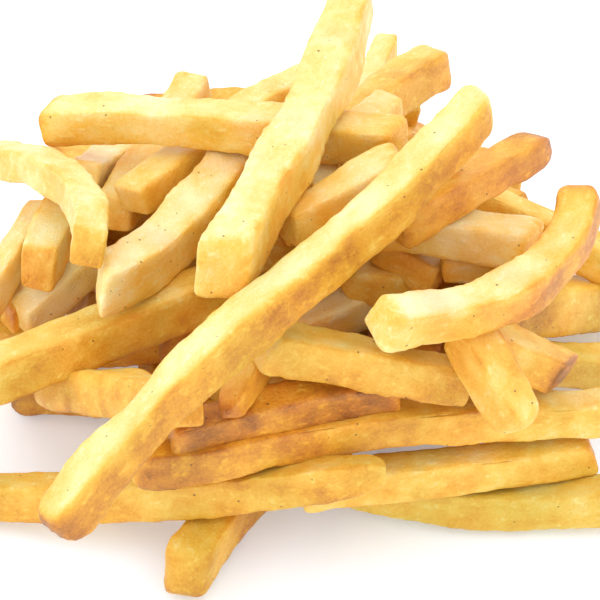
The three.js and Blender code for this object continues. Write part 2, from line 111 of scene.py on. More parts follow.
def new_material(name):
    """An empty node tree with its output."""
    material = bpy.data.materials.new(name)
    material.use_nodes = True
    material.node_tree.nodes.clear()
    return material, material.node_tree


print("middle grey #808080 is", round(float(linear("#808080")[0]), 3), "in linear light")

# %% [markdown]
# ## Floor and light
# A pale matt floor under a bright even sky gives the look of food on a light table. The floor glows
# a little itself, as such a table does, which keeps it near white between the fries. One large lamp
# stands up to the left and a little behind, so upper faces turn bright and the shadows on the
# floor are soft and faint. The plain Standard view keeps the yellows clean.
# %% Floor and studio light
SKY_STRENGTH = 1.42
LAMP_PLACE = (-0.55, 0.25, 0.95)
LAMP_SIZE = 1.5
LAMP_POWER = 2.3
SKY_COLOUR = "#fbfaf7"
FLOOR_HALF = 3.0
FLOOR_COLOURS = ("#e9f1fd", "#eff6ff")
FLOOR_TINT_SCALE = 9.0
FLOOR_ROUGHNESS = 0.7
GLOW_COLOUR = "#e2eeff"
FLOOR_GLOW = 0.26

scene = bpy.context.scene
scene.view_settings.view_transform = "Standard"
world = bpy.data.worlds.new("sky")
world.use_nodes = True
sky = world.node_tree.nodes["Background"]
sky.inputs["Color"].default_value = linear(SKY_COLOUR)
sky.inputs["Strength"].default_value = SKY_STRENGTH
scene.world = world
lamp = bpy.data.lights.new("soft lamp", "AREA")
lamp.size = LAMP_SIZE
lamp.energy = LAMP_POWER
lamp_holder = bpy.data.objects.new("soft lamp", lamp)
lamp_holder.location = LAMP_PLACE
lean = math.atan2(math.hypot(LAMP_PLACE[0], LAMP_PLACE[1]), LAMP_PLACE[2])
lamp_holder.rotation_euler = (0, lean, math.atan2(LAMP_PLACE[1], LAMP_PLACE[0]))
bpy.context.collection.objects.link(lamp_holder)

laminate, tree = new_material("white_laminate")
spot = add(tree, "ShaderNodeTexCoord")
faint = add(tree, "ShaderNodeTexNoise", {"Vector": spot.outputs["Object"], "Scale": FLOOR_TINT_SCALE})
tint = add(tree, "ShaderNodeMix", {
    0: faint.outputs["Fac"], 6: linear(FLOOR_COLOURS[0]), 7: linear(FLOOR_COLOURS[1])}, data_type="RGBA")
face = add(tree, "ShaderNodeBsdfPrincipled", {
    "Base Color": tint.outputs[2], "Roughness": FLOOR_ROUGHNESS,
    "Emission Color": linear(GLOW_COLOUR), "Emission Strength": FLOOR_GLOW})
add(tree, "ShaderNodeOutputMaterial", {"Surface": face.outputs["BSDF"]})
corners = [(x, y, 0.0) for x, y in ((-1, -1), (1, -1), (1, 1), (-1, 1))]
floor_mesh = bpy.data.meshes.new("floor")
floor_mesh.from_pydata([tuple(FLOOR_HALF * c for c in corner) for corner in corners], [], [(0, 1, 2, 3)])
floor_mesh.materials.append(laminate)
floor = bpy.data.objects.new("floor", floor_mesh)
bpy.context.collection.objects.link(floor)
print("lamp", LAMP_POWER, "W, sky", SKY_STRENGTH)

# %% [markdown]
# ## From the board into space
# A place on the board is two lengths, u to the right and v upwards; how near it is to the eye is
# its depth. These few functions turn the three into a point and back, and tell at what depth the
# sight line through (u, v) meets a level plane or the mound of packed fries.
# %% Board and space
# each mound: its middle's two places on the floor, then half its length, half its width, its height
MOUNDS = [(-1, 2, 59, 36, 32), (9, -18, 45, 31, 27)]
NOWHERE = -1e3


def from_board(view, u, v, depth):
    """Eye + (distance - depth) x the ray through (u, v)."""
    ray = view["ahead"] + np.multiply.outer(u, view["right"]) / SIGHT_DISTANCE
    ray = ray + np.multiply.outer(v, view["up"]) / SIGHT_DISTANCE
    return view["eye"] + (SIGHT_DISTANCE - np.asarray(depth))[..., None] * ray


def to_board(view, points):
    """The reverse: how far right, up and near the eye each point lies."""
    reach = points - view["eye"]
    away = reach @ view["ahead"]
    return (SIGHT_DISTANCE * (reach @ view["right"]) / away, SIGHT_DISTANCE * (reach @ view["up"]) / away,
            SIGHT_DISTANCE - away)


def level_depth(view, u, v, height):
    """Depth where the sight line comes down to that height: distance - (height - the eye's height) /
    what the line falls for each length ahead."""
    fall = view["ahead"][2] + v * view["up"][2] / SIGHT_DISTANCE
    return SIGHT_DISTANCE - (height - view["eye"][2]) / fall


def mound_depth(view, u, v, grow):
    """Depth where the line meets the nearest mound, an ellipsoid made larger by grow: the near root
    of the quadratic that the scaled line makes with a unit ball."""
    ray = from_board(view, u, v, SIGHT_DISTANCE - 1 + 0 * u) - view["eye"]
    best = np.full(np.shape(u), NOWHERE)
    for x, y, a, b, h in MOUNDS:
        size = np.array([a, b, h]) + grow
        start = (view["eye"] - [x, y, 0]) / size
        heading = ray / size
        square = (heading ** 2).sum(-1)
        half = heading @ start
        root = half ** 2 - square * (start @ start - 1)
        near = SIGHT_DISTANCE - (-half - np.sqrt(np.maximum(root, 0))) / square
        best = np.where(root > 0, np.maximum(best, near), best)
    return best


floor_depth = float(level_depth(FRONT, 0.0, 0.0, 0.0))
print("the floor meets the middle of the board at depth", round(floor_depth, 1))

# %% [markdown]
# ## The open fries
# Each fry that lies open to view has a row, lowest first: its name, the points that its middle line
# passes on the board (in board units of 0.2 mm, y downwards), its apparent width, its roll, the
# rise that its second end should have over a level lie, how firmly it keeps to that, how closely
# it sinks into its neighbours, and its two ends. A zero takes the usual value. The rows are the
# same as in the CAD model, so the two agree.
# %% Rows of open fries
OPEN_FRIES = [
    ("front_stub", [(183, 582), (200, 548), (232, 505), (262, 478)], 10.5, 20, 0, 0, 0, "round", "cut"),
    ("front_right_sagging", [(335, 486), (400, 496), (500, 505), (640, 494)],
     9, 10, 0, 0, 0, "taper", "cut"),
    ("left_edge_low", [(-30, 338), (60, 334)], 8, 0, 0, 0, 0.3, "cut", "cut"),
    ("left_olive_stub", [(14, 393), (110, 396)], 8, 0, 0, 0, 0.4, "round", "cut"),
    ("left_inner_shaded", [(55, 352), (190, 340)], 8, 0, 0, 0, 0.2, "cut", "cut"),
    ("middle_inner_shaded", [(300, 330), (372, 300)], 9, 0, 0, 0, 0.2, "cut", "cut"),
    ("middle_inner_red", [(365, 345), (440, 352)], 8, 0, 0, 0, 0.2, "cut", "cut"),
    ("right_edge_low", [(520, 362), (650, 372)], 9, 0, 0, 0, 0, "cut", "cut"),
    ("lower_inner_pink", [(150, 438), (266, 425)], 8, 0, 0, 0, 0.25, "cut", "cut"),
    ("front_right_low", [(304, 488), (400, 477), (450, 471), (594, 452)], 9, 8, -2, 0.6, 0, "cut", "cut"),
    ("front_left_long", [(-40, 496), (100, 497), (230, 489), (386, 470)],
     9, 12, 0, 0.05, 0.42, "cut", "taper"),
    ("front_long_golden", [(128, 468), (240, 450), (330, 432), (470, 418), (630, 407)],
     8.8, 10, 0, 0, 0.42, "round", "cut"),
    ("under_centre_shaded", [(172, 436), (300, 404), (400, 390)], 8, 0, 0, 0, 0.3, "cut", "cut"),
    ("left_short_golden", [(38, 385), (95, 392), (182, 404)], 8.5, 20, 0, 0, 0, "taper", "cut"),
    ("browned_end_left", [(160, 342), (220, 316)], 9, 20, 0, 0, 0.35, "cut", "cut"),
    ("downward_shaded", [(227, 416), (246, 376), (264, 345)], 7.5, 10, 0, 0, 0.3, "taper", "cut"),
    ("right_wide_golden", [(490, 318), (560, 306), (650, 300)], 11, 15, 0, 0.05, 0, "cut", "cut"),
    ("inner_golden", [(340, 282), (420, 284)], 8.5, 10, 0, 0, 0.3, "round", "cut"),
    ("inner_orange", [(378, 244), (440, 280)], 8.5, 10, 0, 0, 0.3, "cut", "cut"),
    ("inner_thin_pale", [(440, 264), (500, 260)], 8, 0, 0, 0, 0.25, "cut", "cut"),
    ("right_back_golden", [(450, 185), (547, 232), (640, 280)], 8.5, 10, 0, 0, 0, "cut", "cut"),
    ("left_pink_end", [(6, 318), (60, 268)], 8.5, 0, 0, 0, 0.3, "cut", "cut"),
    ("left_steep_golden", [(-30, 318), (45, 212)], 8, 10, 0, 0.08, 0.45, "cut", "cut"),
    ("left_pale_topped", [(20, 320), (62, 288), (95, 250)], 9, 0, 0, 0, 0.35, "cut", "cut"),
    ("left_orange_ended", [(36, 272), (66, 210)], 9, 0, 0, 0, 0.45, "cut", "cut"),
    ("left_back_peach", [(80, 180), (140, 146)], 8.5, 0, 0, 0, 0.25, "cut", "cut"),
    ("back_left_tip", [(112, 215), (160, 145), (198, 80)], 9, 0, 0, 0.8, 0.3, "cut", "round"),
    ("back_nub", [(345, 140), (389, 40)], 6, 0, 0, 0.8, 0.3, "cut", "round"),
    ("back_golden_blunt", [(330, 150), (396, 90), (444, 62)], 11, 10, 0, 0.8, 0, "cut", "round"),
    ("back_pale_short", [(335, 152), (392, 104)], 8, 0, 0, 0.8, 0.3, "cut", "cut"),
    ("back_left_pale", [(130, 202), (182, 163), (245, 118), (330, 74)], 9, 10, 0, 0.5, 0.45, "cut", "cut"),
    ("back_pale_corner", [(315, 190), (348, 172)], 8, 0, 0, 0, 0.3, "cut", "cut"),
    ("left_large_golden", [(-40, 388), (60, 350), (130, 322), (240, 284)],
     11, 10, 0, 0.05, 0, "cut", "cut"),
    ("centre_blunt", [(262, 345), (350, 362), (470, 384)], 9.5, 10, 0, 0, 0.42, "cut", "cut"),
    ("right_centre_patched", [(372, 226), (450, 232), (532, 247)], 10, 10, 0, 0, 0, "cut", "cut"),
    ("left_centre_specked", [(99, 287), (160, 250), (207, 198), (240, 155)], 11, 5, 0, 0, 0, "cut", "cut"),
    ("left_arched", [(-30, 166), (38, 167), (76, 192), (88, 250)], 8.5, 10, 0, 0, 0, "cut", "cut"),
    ("top_left_level", [(48, 122), (180, 122), (300, 134), (400, 144)], 10, 0, 0, 0, 0, "cut", "cut"),
    ("inner_orange_pink", [(285, 228), (345, 195), (400, 167)], 9, 10, 0, 0, 0, "cut", "cut"),
    ("right_back_pointed", [(440, 202), (543, 142)], 8.5, 10, 0, 0.6, 0.4, "cut", "round"),
    ("right_square_ended", [(466, 334), (566, 374)], 9.5, 0, 0, 0.1, 0.4, "cut", "cut"),
    ("right_short_diagonal", [(466, 330), (525, 429)], 10, 10, 12, 0, 0, "cut", "round"),
    ("right_bent_big_end", [(380, 320), (470, 310), (545, 272), (581, 190)],
     9.5, 10, 0, 0, 0, "cut", "round"),
    ("top_wide_pale", [(220, 272), (290, 150), (330, 68), (354, -8)], 11.3, 5, 14, 0.2, 0, "cut", "round"),
    ("top_long_diagonal", [(52, 531), (121, 447), (234, 337), (305, 277), (400, 192), (486, 98)],
     9.6, 8, 44, 0.5, 0.42, "round", "round"),
]
print(len(OPEN_FRIES), "open fries")

# %% [markdown]
# ## The far side
# The side that faces away is finished as the open side is, with rows of its own on a board seen
# from behind. Its fries nestle closely, so they keep near the heap's skyline.
# %% Rows of the far side
FAR_FRIES = [
    ("far_low_left", [(80, 362), (190, 394), (310, 402)], 9, 0, 0, 0, 0.12, "cut", "round"),
    ("far_low_right", [(290, 412), (400, 402), (500, 375)], 9, 7, 0, 0, 0.12, "round", "cut"),
    ("far_end_right", [(450, 400), (560, 352)], 9.5, 14, 0, 0, 0.12, "cut", "cut"),
    ("far_mid_left", [(60, 336), (240, 370)], 9, 1, 0, 0, 0.12, "cut", "cut"),
    ("far_mid_right", [(290, 372), (420, 360), (560, 318)], 9, 8, 0, 0, 0.12, "cut", "cut"),
    ("far_steep_left", [(150, 400), (225, 306)], 9, 15, 0, 0, 0.12, "round", "cut"),
    ("far_steep_middle", [(335, 425), (352, 370), (360, 325)], 9.5, 2, 0, 0, 0.12, "cut", "cut"),
    ("far_steep_right", [(520, 385), (445, 305)], 9, 9, 0, 0, 0.12, "cut", "cut"),
    ("far_level_long", [(165, 352), (300, 362), (430, 352)], 9, 16, 0, 0, 0.12, "cut", "cut"),
    ("far_high_left", [(180, 380), (280, 332)], 9.5, 3, 0, 0, 0.12, "cut", "cut"),
    ("far_high_right", [(372, 386), (500, 402)], 9, 10, 0, 0, 0.12, "cut", "round"),
]
print(len(FAR_FRIES), "far fries")

# %% [markdown]
# ## The resting rule
# Real fries fall on a heap and come to rest on what lies below. Here each fry may only sink along
# the sight line: at each of its stations the floor, the mound and the fries laid before it set a
# lowest depth, and of all tilts tried the one is kept that lets the fry sink deepest without
# leaving its wanted lie too far. So a fry stays where it belongs on the board and still rests.
# %% Resting rule
# depth between two crossing middle lines, and how much less over a mound, as shares of the width
CONTACT = 0.56
MOUND_BITE = 0.15
# two fries touch where their middle lines are nearer than this share of their joint half-width
EDGE_OVERLAP = 0.97
LEVEL_WEIGHT = 0.2
STATIONS = 25
# tilts tried on each side of the wanted one, up to this many times the length on the board
TILT_STEPS = 60
TILT_REACH = 1.5


def smooth_path(points, shares):
    """Lagrange's formula: a sum of the points, each weighted by the product of (s - tj) / (ti - tj)
    over the shares tj of the chord length at the other points."""
    points = np.array(points, float)
    chord = np.concatenate([[0], np.cumsum(np.linalg.norm(np.diff(points, axis=0), axis=1))])
    knots = chord / chord[-1]
    path = np.zeros((len(shares), 2))
    for i, point in enumerate(points):
        others = np.delete(knots, i)
        weight = np.prod((shares[:, None] - others) / (knots[i] - others), axis=1)
        path += weight[:, None] * point
    return (path[:, 0] - BOARD_MIDDLE) * BOARD_UNIT, (BOARD_MIDDLE - path[:, 1]) * BOARD_UNIT


def settle(row, view, laid, on_mounds=True):
    """Depth = middle + tilt x (share - 0.5), with the middle as low as the lowest depths allow and
    the tilt that makes middle + weight x departure from the wanted tilt least. A fry already laid
    allows no less than its own depth + joint half-width x bite x the cube root of (1 - apart^3)."""
    name, points, width, roll, rise, level, close, *tips = row
    share = np.linspace(0, 1, STATIONS)
    u, v = smooth_path(points, share)
    bite = close or CONTACT
    lowest = level_depth(view, u, v, width / 2)
    if on_mounds:
        lowest = np.maximum(lowest, mound_depth(view, u, v, width * (bite - MOUND_BITE)))
    if laid:
        other_u, other_v, other_depth = to_board(view, np.concatenate([f["line"] for f in laid]))
        reach = (width + np.repeat([f["width"] for f in laid], STATIONS)) / 2
        apart = np.hypot(u[:, None] - other_u, v[:, None] - other_v) / (reach * EDGE_OVERLAP)
        lift = reach * bite * np.cbrt(np.clip(1 - apart ** 3, 0, None))
        lowest = np.maximum(lowest, np.where(apart < 1, other_depth + lift, NOWHERE).max(1))
    board_length = np.hypot(np.diff(u), np.diff(v)).sum()
    ends = level_depth(view, u[[0, -1]], v[[0, -1]], 0.0)
    wanted = ends[1] - ends[0] + rise / math.sin(SIGHT_RISE)
    tilts = wanted + TILT_REACH * board_length * np.arange(-TILT_STEPS, TILT_STEPS + 1) / TILT_STEPS
    middles = (lowest - tilts[:, None] * (share - 0.5)).max(1)
    best = np.argmin(middles + (level or LEVEL_WEIGHT) * np.abs(tilts - wanted))
    line = from_board(view, u, v, middles[best] + tilts[best] * (share - 0.5))
    return {"name": name, "width": float(width), "roll": math.radians(roll), "tips": tips, "line": line,
            "view": view}


laid = []
for row in OPEN_FRIES:
    laid.append(settle(row, FRONT, laid))
laid_far = []
for row in FAR_FRIES:
    laid_far.append(settle(row, FAR, laid_far))
print("top of the open fries at", round(max(f["line"][:, 2].max() for f in laid), 1), "mm")

# %% [markdown]
# ## Fries that carry the open ones
# Where an open fry spans a hollow, real heaps have another fry leaning under it. Each of these runs
# from just under the open fry at one share of its length down to the mound, or to the floor beside
# it, at another share. Both ends lie behind the open fry on the board, so it hides them from the
# eye. A few pairs of shares are tried in turn, and one is kept only if it stays clear of the other
# fries. A short fry gets one at most, a long one two.
# %% Carrying fries
# share of the open fry under which the carrying one starts, and under which it stands
CARRY_SHARES = [(0.25, 0.42), (0.72, 0.55), (0.5, 0.3), (0.5, 0.72), (0.1, 0.25), (0.9, 0.75)]
# width and clear distance are shares, the others are in mm, the roll in radians for each station
CARRY_WIDTH = 0.8
CARRY_CLEAR = 0.55
CARRY_SINK = 11.0
CARRY_GAP = 4.0
CARRY_LONG = 50.0
CARRY_ROLL = 0.3
COMPASS_POINTS = 48
compass = np.linspace(0, 2 * math.pi, COMPASS_POINTS, endpoint=False)
compass = np.stack([np.cos(compass), np.sin(compass)])
outline = (np.concatenate([f["line"][:, :2] for f in laid + laid_far]) @ compass).max(0)


def gap(one, line, width):
    """The least distance between two middle lines, as a share of their joint half-width."""
    apart = np.linalg.norm(one["line"][:, None] - line, axis=2).min()
    return apart / ((one["width"] + width) / 2)


def carry(fry, others):
    """Straight lines from (path at a, its depth less a contact) to (path at b, the mound's depth)."""
    view, width = fry["view"], fry["width"] * CARRY_WIDTH
    u, v, depth = to_board(view, fry["line"])
    share = np.linspace(0, 1, STATIONS)
    ground = np.maximum(mound_depth(view, u, v, -CARRY_SINK), level_depth(view, u, v, width / 2))
    most = 2 if np.linalg.norm(fry["line"][-1] - fry["line"][0]) > CARRY_LONG else 1
    kept = []
    for start, stop in CARRY_SHARES:
        first, second = round(start * (STATIONS - 1)), round(stop * (STATIONS - 1))
        top = depth[first] - CONTACT * (fry["width"] + width) / 2
        if top - ground[second] < CARRY_GAP or len(kept) >= most:
            continue
        ends = from_board(view, u[[first, second]], v[[first, second]], np.array([top, ground[second]]))
        line = ends[0] + share[:, None] * (ends[1] - ends[0])
        if (outline - line[[0, -1], :2] @ compass).min() < width / 2:
            continue
        if all(gap(other, line, width) > CARRY_CLEAR for other in others + kept if other is not fry):
            kept.append({"name": "carrying", "width": width, "roll": CARRY_ROLL * first,
                         "tips": ["cut", "cut"], "line": line, "view": view})
    return kept


carrying = []
for fry in laid:
    carrying.extend(carry(fry, laid + carrying))
print(len(carrying), "carrying fries")

# %% [markdown]
# ## Fries packed inside
# Between the open fries one looks into the heap, onto more fries in the shade, and at the sides and
# the back the packing itself shows. These fries are drawn at random from a fixed seed and dropped
# straight down by the same rule, now with the board lying flat above the heap. Of a handful drawn
# the one that comes to rest lowest is kept, as long as it stays inside the heap's outline and slope
# and behind every open fry: so the packing fills what would be hollow and covers nothing.
# %% Packed fries
PACK_SEED = 41
STREAM_FACTOR = 16807
STREAM_WHOLE = 2147483647
PACK_ROUNDS = 130
PACK_HANDFUL = 22
# limits of each draw: place on the floor, length and width in mm, roll in degrees, share of round ends
PACK_X = (-64, 64)
PACK_Y = (-78, 50)
PACK_LENGTH = (16, 46)
PACK_WIDTH = (7.8, 9.2)
PACK_ROLL = (-25, 25)
PACK_ROUND = 0.4
# how firmly a packed fry keeps level and how closely it lies
PACK_FIRM = 0.1
PACK_CLOSE = 0.72
# mm inside the outline; highest place = foot + slope x mm inside; share of joint half-width behind
PACK_EDGE = 1.0
PACK_FOOT = 10.0
PACK_SLOPE = 0.85
PACK_BEHIND = 0.6
# an edge is covered this near to an open fry's middle, as a share of its width, or over the mound
COVER_SHARE = 0.45
COVER_GROW = -3.0
# ovals on the board where one looks through to the floor: middle and half-sizes in board units
LOOK_THROUGH = [(416, 450, 42, 9), (4, 313, 14, 16), (76, 158, 16, 9)]
ABOVE = {"ahead": np.array([0.0, 0.0, -1.0]), "right": np.array([1.0, 0.0, 0.0]),
         "up": np.array([0.0, 1.0, 0.0]), "eye": np.array([0.0, 0.0, SIGHT_DISTANCE])}


def number_stream(seed):
    """Lehmer's rule: each state is the last one times 16807, less whole multiples of 2147483647."""
    state = seed
    while True:
        state = state * STREAM_FACTOR % STREAM_WHOLE
        yield state / STREAM_WHOLE


stream = number_stream(PACK_SEED)


def pick(low, high):
    """The next number of the stream, brought between low and high."""
    return low + (high - low) * next(stream)


def on_board(fries, view):
    """Where all stations of the fries lie on the board, with the width of the fry at each."""
    return (*to_board(view, np.concatenate([f["line"] for f in fries])),
            np.repeat([f["width"] for f in fries], STATIONS))


open_front, open_far = on_board(laid, FRONT), on_board(laid_far, FAR)


def stays_behind(fry, placed, view):
    """True where, at every crossing on the board, the fry lies deeper than the other by most of
    their joint half-width."""
    u, v, depth = to_board(view, fry["line"])
    other_u, other_v, other_depth, other_width = placed
    reach = (fry["width"] + other_width) / 2
    apart = np.hypot(u[:, None] - other_u, v[:, None] - other_v)
    return not ((apart < reach) & (depth[:, None] > other_depth - PACK_BEHIND * reach)).any()


def stays_inside(fry, placed, view):
    """True where both edges of the fry, seen on the board, lie over an open fry or over the mound and
    clear of the places where one looks through the heap."""
    u, v, _ = to_board(view, fry["line"])
    other_u, other_v, _, other_width = placed
    along = np.array([u[-1] - u[0], v[-1] - v[0]])
    along /= np.linalg.norm(along) + 1e-9
    side = np.array([[-0.5], [0.0], [0.5]]) * fry["width"]
    edge_u, edge_v = (u - side * along[1]).ravel(), (v + side * along[0]).ravel()
    apart = np.hypot(edge_u[:, None] - other_u, edge_v[:, None] - other_v)
    covered = (apart < COVER_SHARE * other_width).any(1)
    covered |= mound_depth(view, edge_u, edge_v, COVER_GROW) > NOWHERE
    for x, y, wide, tall in LOOK_THROUGH:
        off = ((edge_u / BOARD_UNIT + BOARD_MIDDLE - x) / wide) ** 2
        off = off + ((BOARD_MIDDLE - edge_v / BOARD_UNIT - y) / tall) ** 2
        covered &= off > 1
    return covered.all()


def drop_one(placed):
    """One fry drawn at random, dropped onto those already placed; None where it breaks a rule."""
    middle = np.array([pick(*PACK_X), pick(*PACK_Y)])
    heading = pick(0, math.pi)
    half = pick(*PACK_LENGTH) / 2
    width = pick(*PACK_WIDTH)
    roll = pick(*PACK_ROLL)
    tips = ["cut", "round" if pick(0, 1) < PACK_ROUND else "cut"]
    step = half * np.array([math.cos(heading), math.sin(heading)])
    ends = np.stack([middle - step, middle + step])
    if (outline - ends @ compass).min() < width / 2 + PACK_EDGE:
        return None
    points = [(BOARD_MIDDLE + x / BOARD_UNIT, BOARD_MIDDLE - y / BOARD_UNIT) for x, y in ends]
    row = ("packed", points, width, roll, 0, PACK_FIRM, PACK_CLOSE, *tips)
    fry = settle(row, ABOVE, placed, on_mounds=False)
    margin = (outline - fry["line"][:, :2] @ compass).min(1)
    if (fry["line"][:, 2] > PACK_FOOT + PACK_SLOPE * margin).any():
        return None
    kept = stays_behind(fry, open_front, FRONT) and stays_behind(fry, open_far, FAR)
    return fry if kept and stays_inside(fry, open_front, FRONT) else None


packed = []
for _ in range(PACK_ROUNDS):
    handful = [one for one in (drop_one(packed) for _ in range(PACK_HANDFUL)) if one]
    if handful:
        packed.append(min(handful, key=lambda one: one["line"][:, 2].mean()))
print(len(packed), "packed fries")

# %% [markdown]
# ## The shape of one fry
# A fry is a stick of potato cut square, then fried: the edges shrink and round off, the faces sink
# a little between them, and the crust is lumpy. It could be a bevelled box, but a section carried
# along a middle line bends with the fry and gives each end its own form. The section is a square
# ring with rounded corners. Towards an end its size follows a superellipse: a high power keeps the
# end flat with a small rounded rim, as the blade leaves it, and a low power makes it blunt.
# %% Section and ends
# the corner's radius as a share of the half-width, and the points of each side
CORNER_ROUND = 0.36
SIDE_STEPS = 10
# each kind of end: its reach in mm, the superellipse's power, and how blunt it is before the taper
TIPS = {"cut": (5.0, 7.5, 1.0), "round": (5.0, 2.6, 1.0), "taper": (4.0, 2.4, 0.5)}
TIP_RINGS = np.array([0.34, 0.6, 0.78, 0.89, 0.955, 0.99])
TAPER_REACH = 18.0
# the waves of a random field are between these many times its size long
WAVE_SPREAD = (0.6, 1.7)


def square_ring():
    """A square of half-width 1 whose corners become quarter circles: each point is pulled to the
    inner square and pushed out again by the corner radius, straight away from it. Also gives how
    near each point is to a corner, from 0 in the middle of a side to 1."""
    step = np.sin(np.linspace(-math.pi / 2, math.pi / 2, SIDE_STEPS, endpoint=False))
    one = np.stack([np.ones(SIDE_STEPS), step], 1)
    turned = [one, one[:, ::-1] * [-1, 1], -one, one[:, ::-1] * [1, -1]]
    square = np.concatenate(turned)
    inner = np.clip(square, CORNER_ROUND - 1, 1 - CORNER_ROUND)
    out = square - inner
    ring = inner + CORNER_ROUND * out / np.linalg.norm(out, axis=1, keepdims=True)
    edge = np.abs(square).min(1)
    return ring, edge


def wander(points, size, seed, waves=10):
    """A smooth random field: the sum of sine waves of about that length, each with a random heading
    and start, divided so that its spread is about 1."""
    toss = np.random.default_rng(seed)
    heading = toss.normal(size=(points.shape[-1], waves))
    lengths = size * toss.uniform(*WAVE_SPREAD, waves)
    heading *= 2 * math.pi / (lengths * np.linalg.norm(heading, axis=0))
    return np.sin(points @ heading + toss.uniform(0, 2 * math.pi, waves)).sum(-1) / math.sqrt(waves / 2)


def tip_stations(kind):
    """Distances from the end, reach x (1 - (1 - r^p)^(1 / p)), at which the superellipse has grown to
    each size r of TIP_RINGS."""
    reach, power, _ = TIPS[kind]
    return reach * (1 - (1 - TIP_RINGS ** power) ** (1 / power))


def tip_size(kind, distance):
    """(1 - (1 - d / reach)^p)^(1 / p) up to the reach, times a slow taper where the end has one."""
    reach, power, blunt = TIPS[kind]
    near = np.clip(distance / reach, 0, 1)
    size = (1 - (1 - near) ** power) ** (1 / power)
    slow = np.clip(distance / TAPER_REACH, 0, 1)
    return size * (blunt + (1 - blunt) * slow * (2 - slow))


RING, EDGE = square_ring()
print("ring of", len(RING), "points, tips of", len(TIP_RINGS), "rings")

# %% [markdown]
# ## The crust's tone
# Each fry gets a number called toast: 0 is pale cream, a half is golden and 1 is brown. The upper
# face and the side to the right of the fry's run have their own toast, and the gap between them is
# painted light and shade: the upper face is paler where the light falls, the side darker where shade
# falls. Both ends have their own toast too. Drift adds toast steadily from the first end to the
# second. Blush leans the colour to pink or, below zero, to olive, and flecks says how many dark
# specks show.
# %% Tones of the open fries
# name: upper face, paler as painted light; side face, darker as painted shade; first end, second end,
# drift, blush, flecks
TONES = {
    "front_stub": (0.44, 0.62, 0.56, 0.5, 0.1, -0.5, 0.6),
    "front_right_sagging": (0.28, 0.42, 0.5, 0.5, -0.1, -0.9, 0.3),
    "left_edge_low": (0.46, 0.62, 0.5, 0.5, 0.0, -0.6, 0.3),
    "left_olive_stub": (0.46, 0.62, 0.8, 0.5, 0.0, -0.6, 0.6),
    "left_inner_shaded": (0.50, 0.64, 0.5, 0.5, 0.0, 0.1, 0.3),
    # painted light: this fry lies in shade and is given a pale toast so that it reads brighter
    "middle_inner_shaded": (0.16, 0.22, 0.3, 0.3, 0.0, 0.5, 0.3),
    "middle_inner_red": (0.52, 0.66, 0.8, 0.8, 0.0, 0.6, 0.3),
    "right_edge_low": (0.36, 0.50, 0.5, 0.5, 0.0, -0.5, 0.3),
    "lower_inner_pink": (0.42, 0.58, 0.5, 0.5, 0.0, 0.6, 0.3),
    "front_right_low": (0.31, 0.43, 0.5, 0.5, 0.05, -0.15, 0.3),
    "front_left_long": (0.38, 0.56, 0.5, 0.42, 0.0, -0.3, 0.4),
    "front_long_golden": (0.44, 0.54, 0.5, 0.4, -0.44, -0.15, 0.3),
    # painted shade: this fry is given a dark toast where it lies in shade under the others
    "under_centre_shaded": (0.66, 0.76, 0.6, 0.6, 0.0, 0.1, 0.3),
    "left_short_golden": (0.36, 0.48, 0.75, 0.5, 0.05, -0.1, 0.3),
    "browned_end_left": (0.60, 0.66, 0.76, 0.5, 0.0, 0.2, 0.3),
    "downward_shaded": (0.46, 0.60, 0.7, 0.5, 0.0, 0.1, 0.3),
    "right_wide_golden": (0.42, 0.58, 0.5, 0.5, 0.0, -0.45, 0.4),
    "inner_golden": (0.26, 0.40, 0.5, 0.5, 0.0, 0.1, 0.3),
    "inner_orange": (0.34, 0.46, 0.5, 0.5, 0.0, 0.3, 0.3),
    "inner_thin_pale": (0.20, 0.40, 0.5, 0.5, 0.0, 0.1, 0.3),
    "right_back_golden": (0.38, 0.48, 0.5, 0.5, 0.0, 0.0, 0.5),
    "left_pink_end": (0.20, 0.30, 0.56, 0.5, 0.0, 0.3, 0.3),
    "left_steep_golden": (0.18, 0.30, 0.5, 0.5, 0.0, 0.1, 0.3),
    "left_pale_topped": (0.04, 0.18, 0.3, 0.3, 0.0, 0.0, 0.3),
    "left_orange_ended": (0.18, 0.32, 0.58, 0.5, 0.0, 0.1, 0.5),
    "left_back_peach": (0.14, 0.26, 0.4, 0.4, 0.0, 0.3, 0.3),
    "back_left_tip": (0.18, 0.34, 0.4, 0.4, 0.0, 0.2, 0.3),
    "back_nub": (0.15, 0.30, 0.3, 0.2, 0.0, 0.0, 0.0),
    "back_golden_blunt": (0.44, 0.56, 0.5, 0.6, 0.0, -0.1, 0.4),
    "back_pale_short": (0.16, 0.34, 0.3, 0.3, 0.0, 0.0, 0.3),
    "back_left_pale": (0.22, 0.36, 0.3, 0.3, 0.0, 0.1, 0.3),
    "back_pale_corner": (0.12, 0.30, 0.3, 0.3, 0.0, 0.0, 0.3),
    "left_large_golden": (0.35, 0.52, 0.5, 0.5, 0.0, -0.25, 0.4),
    "centre_blunt": (0.33, 0.58, 0.38, 0.5, 0.06, -0.3, 0.4),
    "right_centre_patched": (0.12, 0.26, 0.5, 0.5, 0.0, 0.1, 0.4),
    "left_centre_specked": (0.06, 0.34, 0.18, 0.5, 0.0, 0.05, 1.0),
    "left_arched": (0.18, 0.30, 0.34, 0.45, 0.0, 0.0, 0.5),
    "top_left_level": (0.20, 0.38, 0.60, 0.36, 0.04, 0.1, 0.4),
    "inner_orange_pink": (0.20, 0.28, 0.4, 0.5, 0.0, 0.1, 0.3),
    "right_back_pointed": (0.48, 0.60, 0.6, 0.9, 0.1, 0.15, 0.5),
    "right_square_ended": (0.36, 0.46, 0.5, 0.84, 0.12, 0.1, 0.7),
    "right_short_diagonal": (0.36, 0.50, 0.5, 0.40, -0.1, 0.15, 0.6),
    "right_bent_big_end": (0.20, 0.58, 0.36, 0.6, 0.40, 0.3, 0.6),
    "top_wide_pale": (0.16, 0.34, 0.44, 0.3, 0.04, -0.05, 0.7),
    "top_long_diagonal": (0.09, 0.66, 0.86, 0.04, -0.14, -0.35, 0.3),
}
